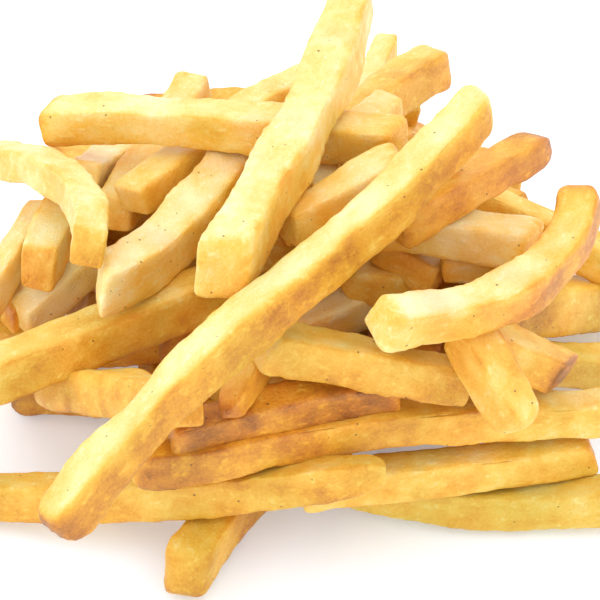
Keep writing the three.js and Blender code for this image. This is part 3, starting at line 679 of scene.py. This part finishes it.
print(len(set(TONES) ^ {row[0] for row in OPEN_FRIES}), "rows without a tone")

# %% [markdown]
# ## Ends of their own
# A knife seldom meets a potato squarely, so ends are cut at a slant, and a few fries twist a little
# as they fry. A slant is how far the end leans along the fry for each length over its height and
# over its width. A turn is the angle of the section about the line. Fries without a row here get
# small random ones. One fry also runs on beyond its line, under the fry that hides it.
# %% Slants and turns
# slant of the first end over its height and over its width, then of the second end
SLANTS = {
    "front_stub": (0.5, 0.0, 0.0, 0.0),
    "browned_end_left": (0.5, 0.0, 0.0, 0.0),
    "left_pink_end": (0.6, 0.0, 0.0, 0.0),
    "left_orange_ended": (0.6, 0.0, 0.0, 0.0),
    "centre_blunt": (0.3, 0.2, 0.0, 0.0),
    "left_centre_specked": (0.1, -0.9, 0.0, 0.0),
    "left_arched": (0.0, 0.0, 0.5, 0.0),
    "top_left_level": (0.0, -0.3, 0.0, 0.2),
    "right_square_ended": (0.0, 0.0, 0.1, 1.1),
    "right_bent_big_end": (0.0, 0.0, 0.0, 0.0),
    "top_wide_pale": (0.55, 0.2, 0.0, 0.0),
}
# turn of the section about the line, in degrees, at the first and at the second end
TURNS = {"right_bent_big_end": (-21, 0), "front_stub": (-22, -10), "top_long_diagonal": (8, 0)}
# how much further a fry runs at its first end, in mm
HIDDEN_REACH = {"right_back_pointed": 12.0}
# the random ones: the largest slant, and the usual size of a turn in degrees
SLANT_LUCK = 0.3
TURN_LUCK = 4
print(len(SLANTS), "slanted and", len(TURNS), "turned fries")

# %% [markdown]
# ## A fry's line and its sections
# The laid line is a row of settled stations, so it is first drawn again as one smooth curve. Along
# it stand the sections: close together in the two tips, evenly between them. Each stands square to
# the line, one face up, and is turned by the roll. Its size is chosen so that the fry looks as wide
# as its row says.
# %% Line and sections
LINE_POINTS = 161
LINE_DEGREE = 6
SPACING = 0.85


def smooth_line(fry):
    """A polynomial of the share along the fry, fitted to its stations by least squares. Gives many
    points of the curve and how far along it each one lies."""
    share = np.linspace(0, 1, len(fry["line"]))
    weights = np.polynomial.polynomial.polyfit(share, fry["line"], LINE_DEGREE)
    path = np.polynomial.polynomial.polyval(np.linspace(0, 1, LINE_POINTS), weights).T
    return path, np.concatenate([[0], np.cumsum(np.linalg.norm(np.diff(path, axis=0), axis=1))])


def section_places(tips, length):
    """Distances along the line: the rings of both tips, and even steps of about SPACING between."""
    near, far = tip_stations(tips[0]), tip_stations(tips[1])
    steps = max(3, int((length - near[-1] - far[-1]) / SPACING))
    body = np.linspace(near[-1], length - far[-1], steps)
    return np.concatenate([near[:-1], body, length - far[-2::-1]])


def section_frames(fry, path, run, at, roll):
    """Middle and direction of the curve at each place, with across = direction x upright and
    upward = across x direction, both then turned about the direction by the roll. A fry that runs
    on further is drawn out evenly towards its first end."""
    middle = np.stack([np.interp(at, run, axis) for axis in path.T], 1)
    tangent = np.stack([np.interp(at, run, axis) for axis in np.gradient(path, run, axis=0).T], 1)
    tangent /= np.linalg.norm(tangent, axis=1, keepdims=True)
    further = HIDDEN_REACH.get(fry["name"], 0.0)
    middle -= tangent * (further * (1 - at / run[-1]))[:, None]
    across = np.cross(tangent, [0, 0, 1])
    across /= np.linalg.norm(across, axis=1, keepdims=True)
    upward = np.cross(across, tangent)
    cos, sin = np.cos(roll)[:, None], np.sin(roll)[:, None]
    return middle, tangent, across * cos + upward * sin, upward * cos - across * sin


def section_sizes(fry, at, length, tangent, across, upward):
    """Half-width = the row's width / 2 / how far the turned ring of the middle section reaches
    sideways on the board, times the size that each tip gives there."""
    half = len(at) // 2
    seen = np.cross(fry["view"]["ahead"], tangent[half])
    seen /= np.linalg.norm(seen)
    spread = np.max(RING[:, 0] * (across[half] @ seen) + RING[:, 1] * (upward[half] @ seen))
    first, second = fry["tips"]
    return fry["width"] / 2 / spread * tip_size(first, at) * tip_size(second, length - at)


print("sections of a level fry of 60 mm:", len(section_places(("cut", "cut"), 60.0)))

# %% [markdown]
# ## Toast over a fry
# Toast changes over each fry: from face to face as painted light and shade, and as the oil left it,
# darker along the rims and round browned ends, with soft random patches. The finer patches come
# later, in the material.
# %% Toast over the surface
FACE_STEEPNESS = 5
# painted shade: the underside gets more toast than the mean of upper face and side, so it is darker, and
# the face away from the side mixes the two by these shares
UNDER_SHADE_TOAST = 0.08
AWAY_SHARES = (0.4, 0.6)
# how far an end's own toast reaches, how far its browning spreads, from what toast and how strongly
END_REACH = 1.6
BROWNING_REACH = 5
BROWNING_FROM = 0.45
BROWNING = 0.3
# strength and size in mm of each random field
RIM_TOAST = (0.15, 9)
WIDE_TOAST = (0.045, 18)
SMALL_TOAST = (0.03, 5)
BLUSH_WANDER = (0.22, 12)


def toast_with_shading(tone, at, length, own, seed):
    """Each face's toast counts by e^(steepness x how squarely the ring point looks its way) over the
    sum of all four; these face toasts paint light and shade, the upper face paler, the side and the
    underside darker. Rims, drift, both ends, e^(-(d / reach)^2), their browning and two random
    fields come on top."""
    upper, side, first, second, drift, *_ = tone
    from_first, from_second = at[:, None], (length - at)[:, None]
    look = np.stack([RING[:, 1], RING[:, 0], -RING[:, 1], -RING[:, 0]]) * FACE_STEEPNESS
    share = np.exp(look) / np.exp(look).sum(0)
    # painted shade: the underside is set darker than the mean of upper face and side
    under = 0.5 * (upper + side) + UNDER_SHADE_TOAST
    toast_and_shading = share.T @ [upper, side, under, AWAY_SHARES[0] * upper + AWAY_SHARES[1] * side]
    rim = EDGE ** 6 * (0.5 + 0.5 * wander(own, RIM_TOAST[1], seed + 7))
    toast_and_shading = toast_and_shading + RIM_TOAST[0] * rim + drift * (from_first / length - 0.5)
    ends = ((first, from_first), (second, from_second))
    for end, distance in ends:
        toast_and_shading = toast_and_shading + np.exp(-(distance / END_REACH) ** 2) * (end - toast_and_shading)
    for end, distance in ends:
        toast_and_shading += BROWNING * np.exp(-distance / BROWNING_REACH) * max(end - BROWNING_FROM, 0)
    for number, (strength, size) in enumerate((WIDE_TOAST, SMALL_TOAST)):
        toast_and_shading += strength * wander(own, size, seed + 5 + number)
    return toast_and_shading


print("browning spreads about", BROWNING_REACH, "mm from an end")

# %% [markdown]
# ## Growing a fry
# The ring is drawn at every section, and near a slanted end its points slide along the fry. Then
# the whole grid is pushed in and out along its own normals by two random fields, one of long lumps
# and one of small blisters, and the edges a little more than the faces. Every field has a seed of
# its own, counted up from the fry's seed. The lengths along, sideways and upwards are kept at each
# point, so that the material can follow the fry.
# %% Fry surface
# strength and size in mm of each random field
LUMP = (0.13, 15.0)
BLISTER = (0.04, 2.8)
# the same, with the strength as a share of the thickness
THICKNESS_WANDER = (0.04, 26)
FACE_SINK = 0.03
EDGE_LUMPS = 0.8
SLANT_REACH = 7
POLE_OUT = 0.06
PATTERN_SHIFT = 500
STORED = ("toast_and_shading", "blush", "flecks", "along", "sideways", "upwards")


def lumps(points, own, size, seed):
    """Normal of the grid x (lump x (1 + 0.8 edge^2) + blister x (1 + edge^2)), fading to nothing in
    the tips."""
    around = np.roll(points, -1, 1) - np.roll(points, 1, 1)
    normal = np.cross(np.gradient(points, axis=0), around)
    normal /= np.linalg.norm(normal, axis=-1, keepdims=True) + 1e-9
    push = LUMP[0] * wander(own, LUMP[1], seed + 3) * (1 + EDGE_LUMPS * EDGE ** 2)
    push += BLISTER[0] * wander(own, BLISTER[1], seed + 4) * (1 + EDGE ** 2)
    return normal * (push * np.minimum(size / size.max() * 2, 1)[:, None])[..., None]


def fry_surface(fry, tone, seed):
    """Point = middle of the section + across x x + upward x y + direction x slide, where x and y are
    the ring times the half-widths, the slide is (slant over height x y + slant over width x x) x
    e^(-d / reach) at each end, and the lumps come last. Gives the points and what is stored."""
    toss = np.random.default_rng(seed)
    slant = SLANTS.get(fry["name"]) or SLANT_LUCK * np.random.default_rng(seed).uniform(-1, 1, 4)
    turn = np.radians(TURNS.get(fry["name"], (0, TURN_LUCK * toss.normal())))
    path, run = smooth_line(fry)
    length = run[-1]
    at = section_places(fry["tips"], length)
    roll = fry["roll"] + turn[0] + (turn[1] - turn[0]) * at / length
    middle, tangent, across, upward = section_frames(fry, path, run, at, roll)
    size = section_sizes(fry, at, length, tangent, across, upward)
    share, wave = THICKNESS_WANDER
    slow = at[:, None] * [1.0, 0.0]
    wide = size * (1 + share * wander(slow, wave, seed + 1))
    tall = size * (1 + share * wander(slow, wave, seed + 2))
    sink = 1 - FACE_SINK * (1 - EDGE ** 2)
    x, y = wide[:, None] * RING[:, 0] * sink, tall[:, None] * RING[:, 1] * sink
    slide = (slant[0] * y + slant[1] * x) * np.exp(-at[:, None] / SLANT_REACH)
    slide = slide - (slant[2] * y + slant[3] * x) * np.exp(-(length - at)[:, None] / SLANT_REACH)
    points = middle[:, None] + across[:, None] * x[..., None] + upward[:, None] * y[..., None]
    points += tangent[:, None] * slide[..., None]
    own = np.stack([np.broadcast_to(at[:, None], x.shape), x, y], -1)
    points += lumps(points, own, size, seed)
    poles = middle[[0, -1]] - tangent[[0, -1]] * np.array([[POLE_OUT], [-POLE_OUT]])
    toast_and_shading = toast_with_shading(tone, at, length, own, seed)
    blush = tone[5] + BLUSH_WANDER[0] * wander(own, BLUSH_WANDER[1], seed + 8)
    along, sideways, upwards = np.moveaxis(own + toss.uniform(-PATTERN_SHIFT, PATTERN_SHIFT, 3), -1, 0)
    stored = (toast_and_shading, blush, tone[6] + 0 * toast_and_shading, along, sideways, upwards)
    return {"grid": points + SHIFT, "poles": poles + SHIFT, **dict(zip(STORED, stored))}


trial = fry_surface(laid[-1], TONES[laid[-1]["name"]], 5)
print("the long top fry has", trial["grid"].shape, "points")

# %% [markdown]
# ## Joining fries into pieces
# Fries of one kind become one mesh. Each grid of points is closed round its ring and shut at both
# ends by a fan on one last point, so no fry has an open seam.
# %% Faces of a grid


def grid_faces(rings, steps, start):
    """Quads between neighbouring rings and a fan of triangles at each pole; the ring closes on
    itself because the next step after the last is the first."""
    step = np.arange(steps)
    after = (step + 1) % steps
    row = start + steps * np.arange(rings - 1)[:, None]
    quads = np.stack([row + step, row + steps + step, row + steps + after, row + after], -1).reshape(-1, 4)
    first, second = start + rings * steps, start + rings * steps + 1
    last = start + (rings - 1) * steps
    fans = np.concatenate([np.stack([np.full(steps, first), start + step, start + after], 1),
                           np.stack([np.full(steps, second), last + after, last + step], 1)])
    return quads, fans


print("faces of a closed stick of 3 rings:", sum(len(part) for part in grid_faces(3, len(RING), 0)))

# %% [markdown]
# Whole arrays of points, corners and face starts go into the mesh at once, which is far quicker
# than adding faces one by one. The stored numbers become attributes of its points.
# %% Joined mesh


def mesh_from_arrays(name, points, quads, fans):
    """A smooth mesh of quads and triangles, each face starting where the corners before it end."""
    mesh = bpy.data.meshes.new(name)
    mesh.vertices.add(len(points))
    mesh.vertices.foreach_set("co", points.ravel())
    corners = np.concatenate([quads.ravel(), fans.ravel()])
    counts = np.concatenate([np.full(len(quads), 4), np.full(len(fans), 3)])
    mesh.loops.add(len(corners))
    mesh.loops.foreach_set("vertex_index", corners)
    mesh.polygons.add(len(counts))
    mesh.polygons.foreach_set("loop_start", np.concatenate([[0], np.cumsum(counts)[:-1]]))
    mesh.polygons.foreach_set("use_smooth", np.ones(len(counts), bool))
    return mesh


def join_fries(name, surfaces, material):
    """Stacks the points of all surfaces, with their faces and stored numbers, into one piece; a pole
    takes the mean of its ring's numbers."""
    points, quads, fans, start = [], [], [], 0
    stored = {key: [] for key in STORED}
    for surface in surfaces:
        rings, steps = surface["toast_and_shading"].shape
        some_quads, some_fans = grid_faces(rings, steps, start)
        quads.append(some_quads)
        fans.append(some_fans)
        points += [surface["grid"].reshape(-1, 3), surface["poles"]]
        for key in STORED:
            stored[key] += [surface[key].ravel(), surface[key][[0, -1]].mean(1)]
        start += rings * steps + 2
    quads, fans = np.concatenate(quads), np.concatenate(fans)
    mesh = mesh_from_arrays(name, np.concatenate(points) * MM, quads, fans)
    for key, values in stored.items():
        mesh.attributes.new(key, "FLOAT", "POINT").data.foreach_set("value", np.concatenate(values))
    mesh.update(calc_edges=True)
    mesh.validate()
    mesh.materials.append(material)
    piece = bpy.data.objects.new(name, mesh)
    bpy.context.collection.objects.link(piece)
    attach(piece, "root")
    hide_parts("fries_heap")
    print(name, "-", len(surfaces), "shapes,", 2 * len(quads) + len(fans), "triangles")


print("stored at every point:", ", ".join(STORED))

# %% [markdown]
# ## Fried potato
# The crust of a fry is potato starch that swelled and dried in hot oil: pale and waxy where it stayed
# moist, golden where it browned. Patches of browning are about 10 mm long, mottling 3 to 4 mm and
# blisters 2 mm. The grain of burst cells is really a tenth of a millimetre, and is drawn at half a
# millimetre so that it shows. All are longer along the fry than across it, so each is noise over
# the fry's own lengths, stretched by those sizes, and nudges the toast. The blisters are real
# relief, and their paler colour is a painted highlight on each bubble.
# %% Patterns of the crust
# size in mm along the fry and across it, toast from the palest to the brownest place, kind of noise
PATTERNS = {
    "patches": ((10.0, 6.0), 0.38, {"Detail": 2.0, "Distortion": 0.2}),
    "mottle": ((3.6, 2.4), 0.34, {"Detail": 4.0, "Roughness": 0.6, "Distortion": 0.2}),
    "grain": ((0.55, 0.45), 0.30, {"Detail": 3.0, "Roughness": 0.6}),
}
BLISTERS = (1.9, 1.3)
# painted highlight: toast taken off at each blister, so it turns paler as if it caught the light
BLISTER_HIGHLIGHT = -0.16
# noise at which a blister begins to rise, and at which it is full
BLISTER_RISE = (0.58, 0.80)
crust, tree = new_material("fried_potato_crust")
# the toast attribute carries real browning and the painted light and shade of the faces
toast_and_shading, blush, flecks, along, sideways, upwards = (
    add(tree, "ShaderNodeAttribute", attribute_name=name).outputs["Fac"] for name in STORED)


def own_lengths(size):
    """The fry's own lengths over a pattern's size: along / long, sideways / wide, upwards / wide."""
    long, wide = size
    parts = {"X": (along, long), "Y": (sideways, wide), "Z": (upwards, wide)}
    scaled = {axis: add(tree, "ShaderNodeMath", {0: part, 1: 1 / mm}, operation="MULTIPLY").outputs[0]
              for axis, (part, mm) in parts.items()}
    return add(tree, "ShaderNodeCombineXYZ", scaled).outputs["Vector"]


noise = {}
for name, (size, strength, kind) in PATTERNS.items():
    pattern = add(tree, "ShaderNodeTexNoise", {"Vector": own_lengths(size), "Scale": 1.0, **kind})
    noise[name] = pattern.outputs["Fac"]
    centred = add(tree, "ShaderNodeMath", {0: noise[name], 1: 0.5}, operation="SUBTRACT")
    toast_and_shading = add(tree, "ShaderNodeMath", {0: centred.outputs[0], 1: strength, 2: toast_and_shading},
                operation="MULTIPLY_ADD").outputs[0]
bubbles = add(tree, "ShaderNodeTexNoise", {"Vector": own_lengths(BLISTERS), "Scale": 1.0, "Detail": 1.0})
blister = add(tree, "ShaderNodeMapRange", {
    "Value": bubbles.outputs["Fac"], "From Min": BLISTER_RISE[0], "From Max": BLISTER_RISE[1]})
# painted highlight: the blisters lower the toast and turn paler
toast_and_shading = add(tree, "ShaderNodeMath", {0: blister.outputs["Result"], 1: BLISTER_HIGHLIGHT, 2: toast_and_shading},
            operation="MULTIPLY_ADD").outputs[0]
print("crust patterns:", {name: size for name, (size, *_) in PATTERNS.items()}, "mm")

# %% [markdown]
# Toast turns to colour through a ramp from cream through gold to brown. Blush multiplies it by a
# faint pink, or below zero by a faint olive.
# %% Colours of the crust
CRUST_COLOURS = [(0.0, "#f6eab9"), (0.2, "#f4da8c"), (0.4, "#f0c252"), (0.58, "#e5a530"),
                 (0.76, "#c57e28"), (1.0, "#7c461c")]
PINK = "#ffe6e6"
OLIVE = "#e2eac8"
ramp = add(tree, "ShaderNodeValToRGB", {"Fac": toast_and_shading})
stops = ramp.color_ramp.elements
stops[0].position, stops[0].color = CRUST_COLOURS[0][0], linear(CRUST_COLOURS[0][1])
stops[1].position, stops[1].color = CRUST_COLOURS[-1][0], linear(CRUST_COLOURS[-1][1])
for position, colour in CRUST_COLOURS[1:-1]:
    stops.new(position).color = linear(colour)
to_pink = add(tree, "ShaderNodeMix", {0: blush, 6: ramp.outputs["Color"], 7: linear(PINK)},
              data_type="RGBA", blend_type="MULTIPLY")
to_olive = add(tree, "ShaderNodeMath", {0: blush, 1: -1.0}, operation="MULTIPLY", use_clamp=True)
leaned = add(tree, "ShaderNodeMix", {0: to_olive.outputs[0], 6: to_pink.outputs[2], 7: linear(OLIVE)},
             data_type="RGBA", blend_type="MULTIPLY")
print(len(stops), "crust colours")

# %% [markdown]
# Dark flecks are bits of skin and burnt crumb, well under a millimetre across. A cell pattern gives
# at most one in each cell, the random colour of the cell decides whether it has one, and the
# mottling decides how large it is.
# %% Flecks
FLECK_SPACING = 2.6 * MM
FLECK_COLOUR = "#5a3a18"
FLECK_STRENGTH = 0.75
# radius in cells = growth x mottling + start
FLECK_GROWTH = 0.17
FLECK_START = -0.01
place = add(tree, "ShaderNodeTexCoord").outputs["Object"]
cells = add(tree, "ShaderNodeTexVoronoi", {"Vector": place, "Scale": 1 / FLECK_SPACING})
fleck_size = add(tree, "ShaderNodeMath", {0: noise["mottle"], 1: FLECK_GROWTH, 2: FLECK_START},
                 operation="MULTIPLY_ADD")
in_fleck = add(tree, "ShaderNodeMath", {0: cells.outputs["Distance"], 1: fleck_size.outputs[0]},
               operation="LESS_THAN")
luck = add(tree, "ShaderNodeSeparateColor", {"Color": cells.outputs["Color"]})
chosen = add(tree, "ShaderNodeMath", {0: luck.outputs["Red"], 1: flecks}, operation="LESS_THAN")
shown = add(tree, "ShaderNodeMath", {0: chosen.outputs[0], 1: in_fleck.outputs[0]}, operation="MULTIPLY")
faded = add(tree, "ShaderNodeMath", {0: shown.outputs[0], 1: FLECK_STRENGTH}, operation="MULTIPLY")
speckled = add(tree, "ShaderNodeMix", {
    0: faded.outputs[0], 6: leaned.outputs[2], 7: linear(FLECK_COLOUR)}, data_type="RGBA")
print("at most one fleck for each cell of", round(FLECK_SPACING / MM, 1), "mm")

# %% [markdown]
# Mottling, grain and blisters also stand out as fine relief. Light enters the potato a little and
# comes out warmer, so it gets some subsurface scattering. Cooked starch has an index of refraction
# near 1.45, and the thin film of oil keeps the roughness near a half under a faint coat.
# %% Relief and gloss
# relief of each pattern as a share of the bump's full height
MOTTLE_RELIEF = 0.7
GRAIN_RELIEF = 0.5
BLISTER_RELIEF = 0.25
BUMP_STRENGTH = 0.65
BUMP_HEIGHT = 0.6 * MM
ROUGHNESS = (0.42, 0.62)
STARCH_IOR = 1.45
SCATTER_WEIGHT = 0.22
SCATTER_DEPTH = 1.6 * MM
SCATTER_COLOURS = (1.0, 0.5, 0.18)
OIL_COAT = 0.14
OIL_ROUGHNESS = 0.28
relief = add(tree, "ShaderNodeMath", {0: noise["mottle"], 1: MOTTLE_RELIEF}, operation="MULTIPLY")
for height, strength in ((noise["grain"], GRAIN_RELIEF), (blister.outputs["Result"], BLISTER_RELIEF)):
    relief = add(tree, "ShaderNodeMath", {0: height, 1: strength, 2: relief.outputs[0]},
                 operation="MULTIPLY_ADD")
bump = add(tree, "ShaderNodeBump", {
    "Height": relief.outputs[0], "Strength": BUMP_STRENGTH, "Distance": BUMP_HEIGHT})
gloss = add(tree, "ShaderNodeMapRange", {
    "Value": noise["mottle"], "To Min": ROUGHNESS[0], "To Max": ROUGHNESS[1]})
potato = add(tree, "ShaderNodeBsdfPrincipled", {
    "Base Color": speckled.outputs[2], "Roughness": gloss.outputs["Result"], "IOR": STARCH_IOR,
    "Normal": bump.outputs["Normal"], "Subsurface Weight": SCATTER_WEIGHT,
    "Subsurface Scale": SCATTER_DEPTH, "Subsurface Radius": SCATTER_COLOURS,
    "Coat Weight": OIL_COAT, "Coat Roughness": OIL_ROUGHNESS})
add(tree, "ShaderNodeOutputMaterial", {"Surface": potato.outputs["BSDF"]})
print(len(tree.nodes), "nodes in the crust")

# %% [markdown]
# ## The pieces
# Pale, golden and shaded fries, those of the far side, the packed and the carrying ones each make
# one piece. The open fries have their tones by name, and the others draw theirs at random.
# %% Build the fries
# an open fry is pale or golden where the toast of its upper face is under these
PALE_BELOW = 0.25
GOLDEN_BELOW = 0.5
# limits of each random tone; the side's is added to the upper face's, so the side is darker, a painted
# shade
DRAWN_UPPER = (0.22, 0.48)
DRAWN_SIDE_SHADE = (0.08, 0.18)
DRAWN_END = (0.4, 0.75)
DRAWN_DRIFT = (-0.12, 0.12)
DRAWN_BLUSH = (-0.3, 0.35)
DRAWN_FLECKS = 0.4
# first seed of each kind, and the step to the next fry's
OPEN_SEED = 100
UNSEEN = {"far_fries": (laid_far, 2000), "packed_fries": (packed, 4000), "carrying_fries": (carrying, 5000)}
SEED_STEP = 10


def drawn_tone(toss):
    """A golden fry with a little luck in every number, each drawn evenly between its limits."""
    upper = toss.uniform(*DRAWN_UPPER)
    # painted shade: the side gets more toast than the upper face
    side = upper + toss.uniform(*DRAWN_SIDE_SHADE)
    ends = toss.uniform(*DRAWN_END), toss.uniform(*DRAWN_END)
    return upper, side, *ends, toss.uniform(*DRAWN_DRIFT), toss.uniform(*DRAWN_BLUSH), DRAWN_FLECKS


kinds = {"pale_fries": [], "golden_fries": [], "shaded_fries": []}
for number, fry in enumerate(laid):
    tone = TONES[fry["name"]]
    kind = "shaded_fries"
    if tone[0] < GOLDEN_BELOW:
        kind = "pale_fries" if tone[0] < PALE_BELOW else "golden_fries"
    kinds[kind].append(fry_surface(fry, tone, OPEN_SEED + SEED_STEP * number))
draw = np.random.default_rng(PACK_SEED)
for kind, (fries, seed) in UNSEEN.items():
    kinds[kind] = [fry_surface(fry, drawn_tone(draw), seed + SEED_STEP * n) for n, fry in enumerate(fries)]
for kind, surfaces in kinds.items():
    join_fries(kind, surfaces, crust)

# %% [markdown]
# ## The core
# Deep in the heap nothing can be told apart, so mounds of lumpy potato fill it, lower than the
# packed fries that cover them. Their browner toast is painted shade, for the dark deep in the heap.
# %% Core
# each core: its middle's two places on the floor, then half its length, half its width, its height
CORES = [(-4, 0, 42, 25, 21), (8, -19, 34, 21, 17)]
CORE_ROUND = 72
CORE_RINGS = 28
CORE_LUMPS = (0.03, 14)
CORE_FOOT = 0.3
# painted shade: the core's toast is browner than most fries, for the shade deep inside the heap
CORE_SHADE_TOAST = 0.62
CORE_BLUSH = 0.1
CORE_SEED = 70


def core_surface(core, seed):
    """Point = centre + (a cos(t) cos(r), b cos(t) sin(r), h sin(t)), half a ball drawn out to the
    core's half-sizes, times 1 + a little of the random field."""
    x, y, *size = core
    rise = np.linspace(0, math.pi / 2, CORE_RINGS, endpoint=False)[:, None]
    turn = -np.linspace(0, 2 * math.pi, CORE_ROUND, endpoint=False)
    ball = np.stack([np.cos(rise) * np.cos(turn), np.cos(rise) * np.sin(turn),
                     np.sin(rise) + 0 * turn], -1)
    grid = ball * size * (1 + CORE_LUMPS[0] * wander(ball * size, CORE_LUMPS[1], seed))[..., None]
    grid[0, :, 2] = CORE_FOOT
    middle = np.array([x, y, 0.0])
    poles = middle + [[0, 0, CORE_FOOT], [0, 0, size[2]]]
    one = np.ones(grid.shape[:2])
    stored = (CORE_SHADE_TOAST * one, CORE_BLUSH * one, 0 * one, *np.moveaxis(grid, -1, 0))
    return {"grid": grid + middle + SHIFT, "poles": poles + SHIFT, **dict(zip(STORED, stored))}


join_fries("heap_core", [core_surface(core, CORE_SEED + n) for n, core in enumerate(CORES)], crust)
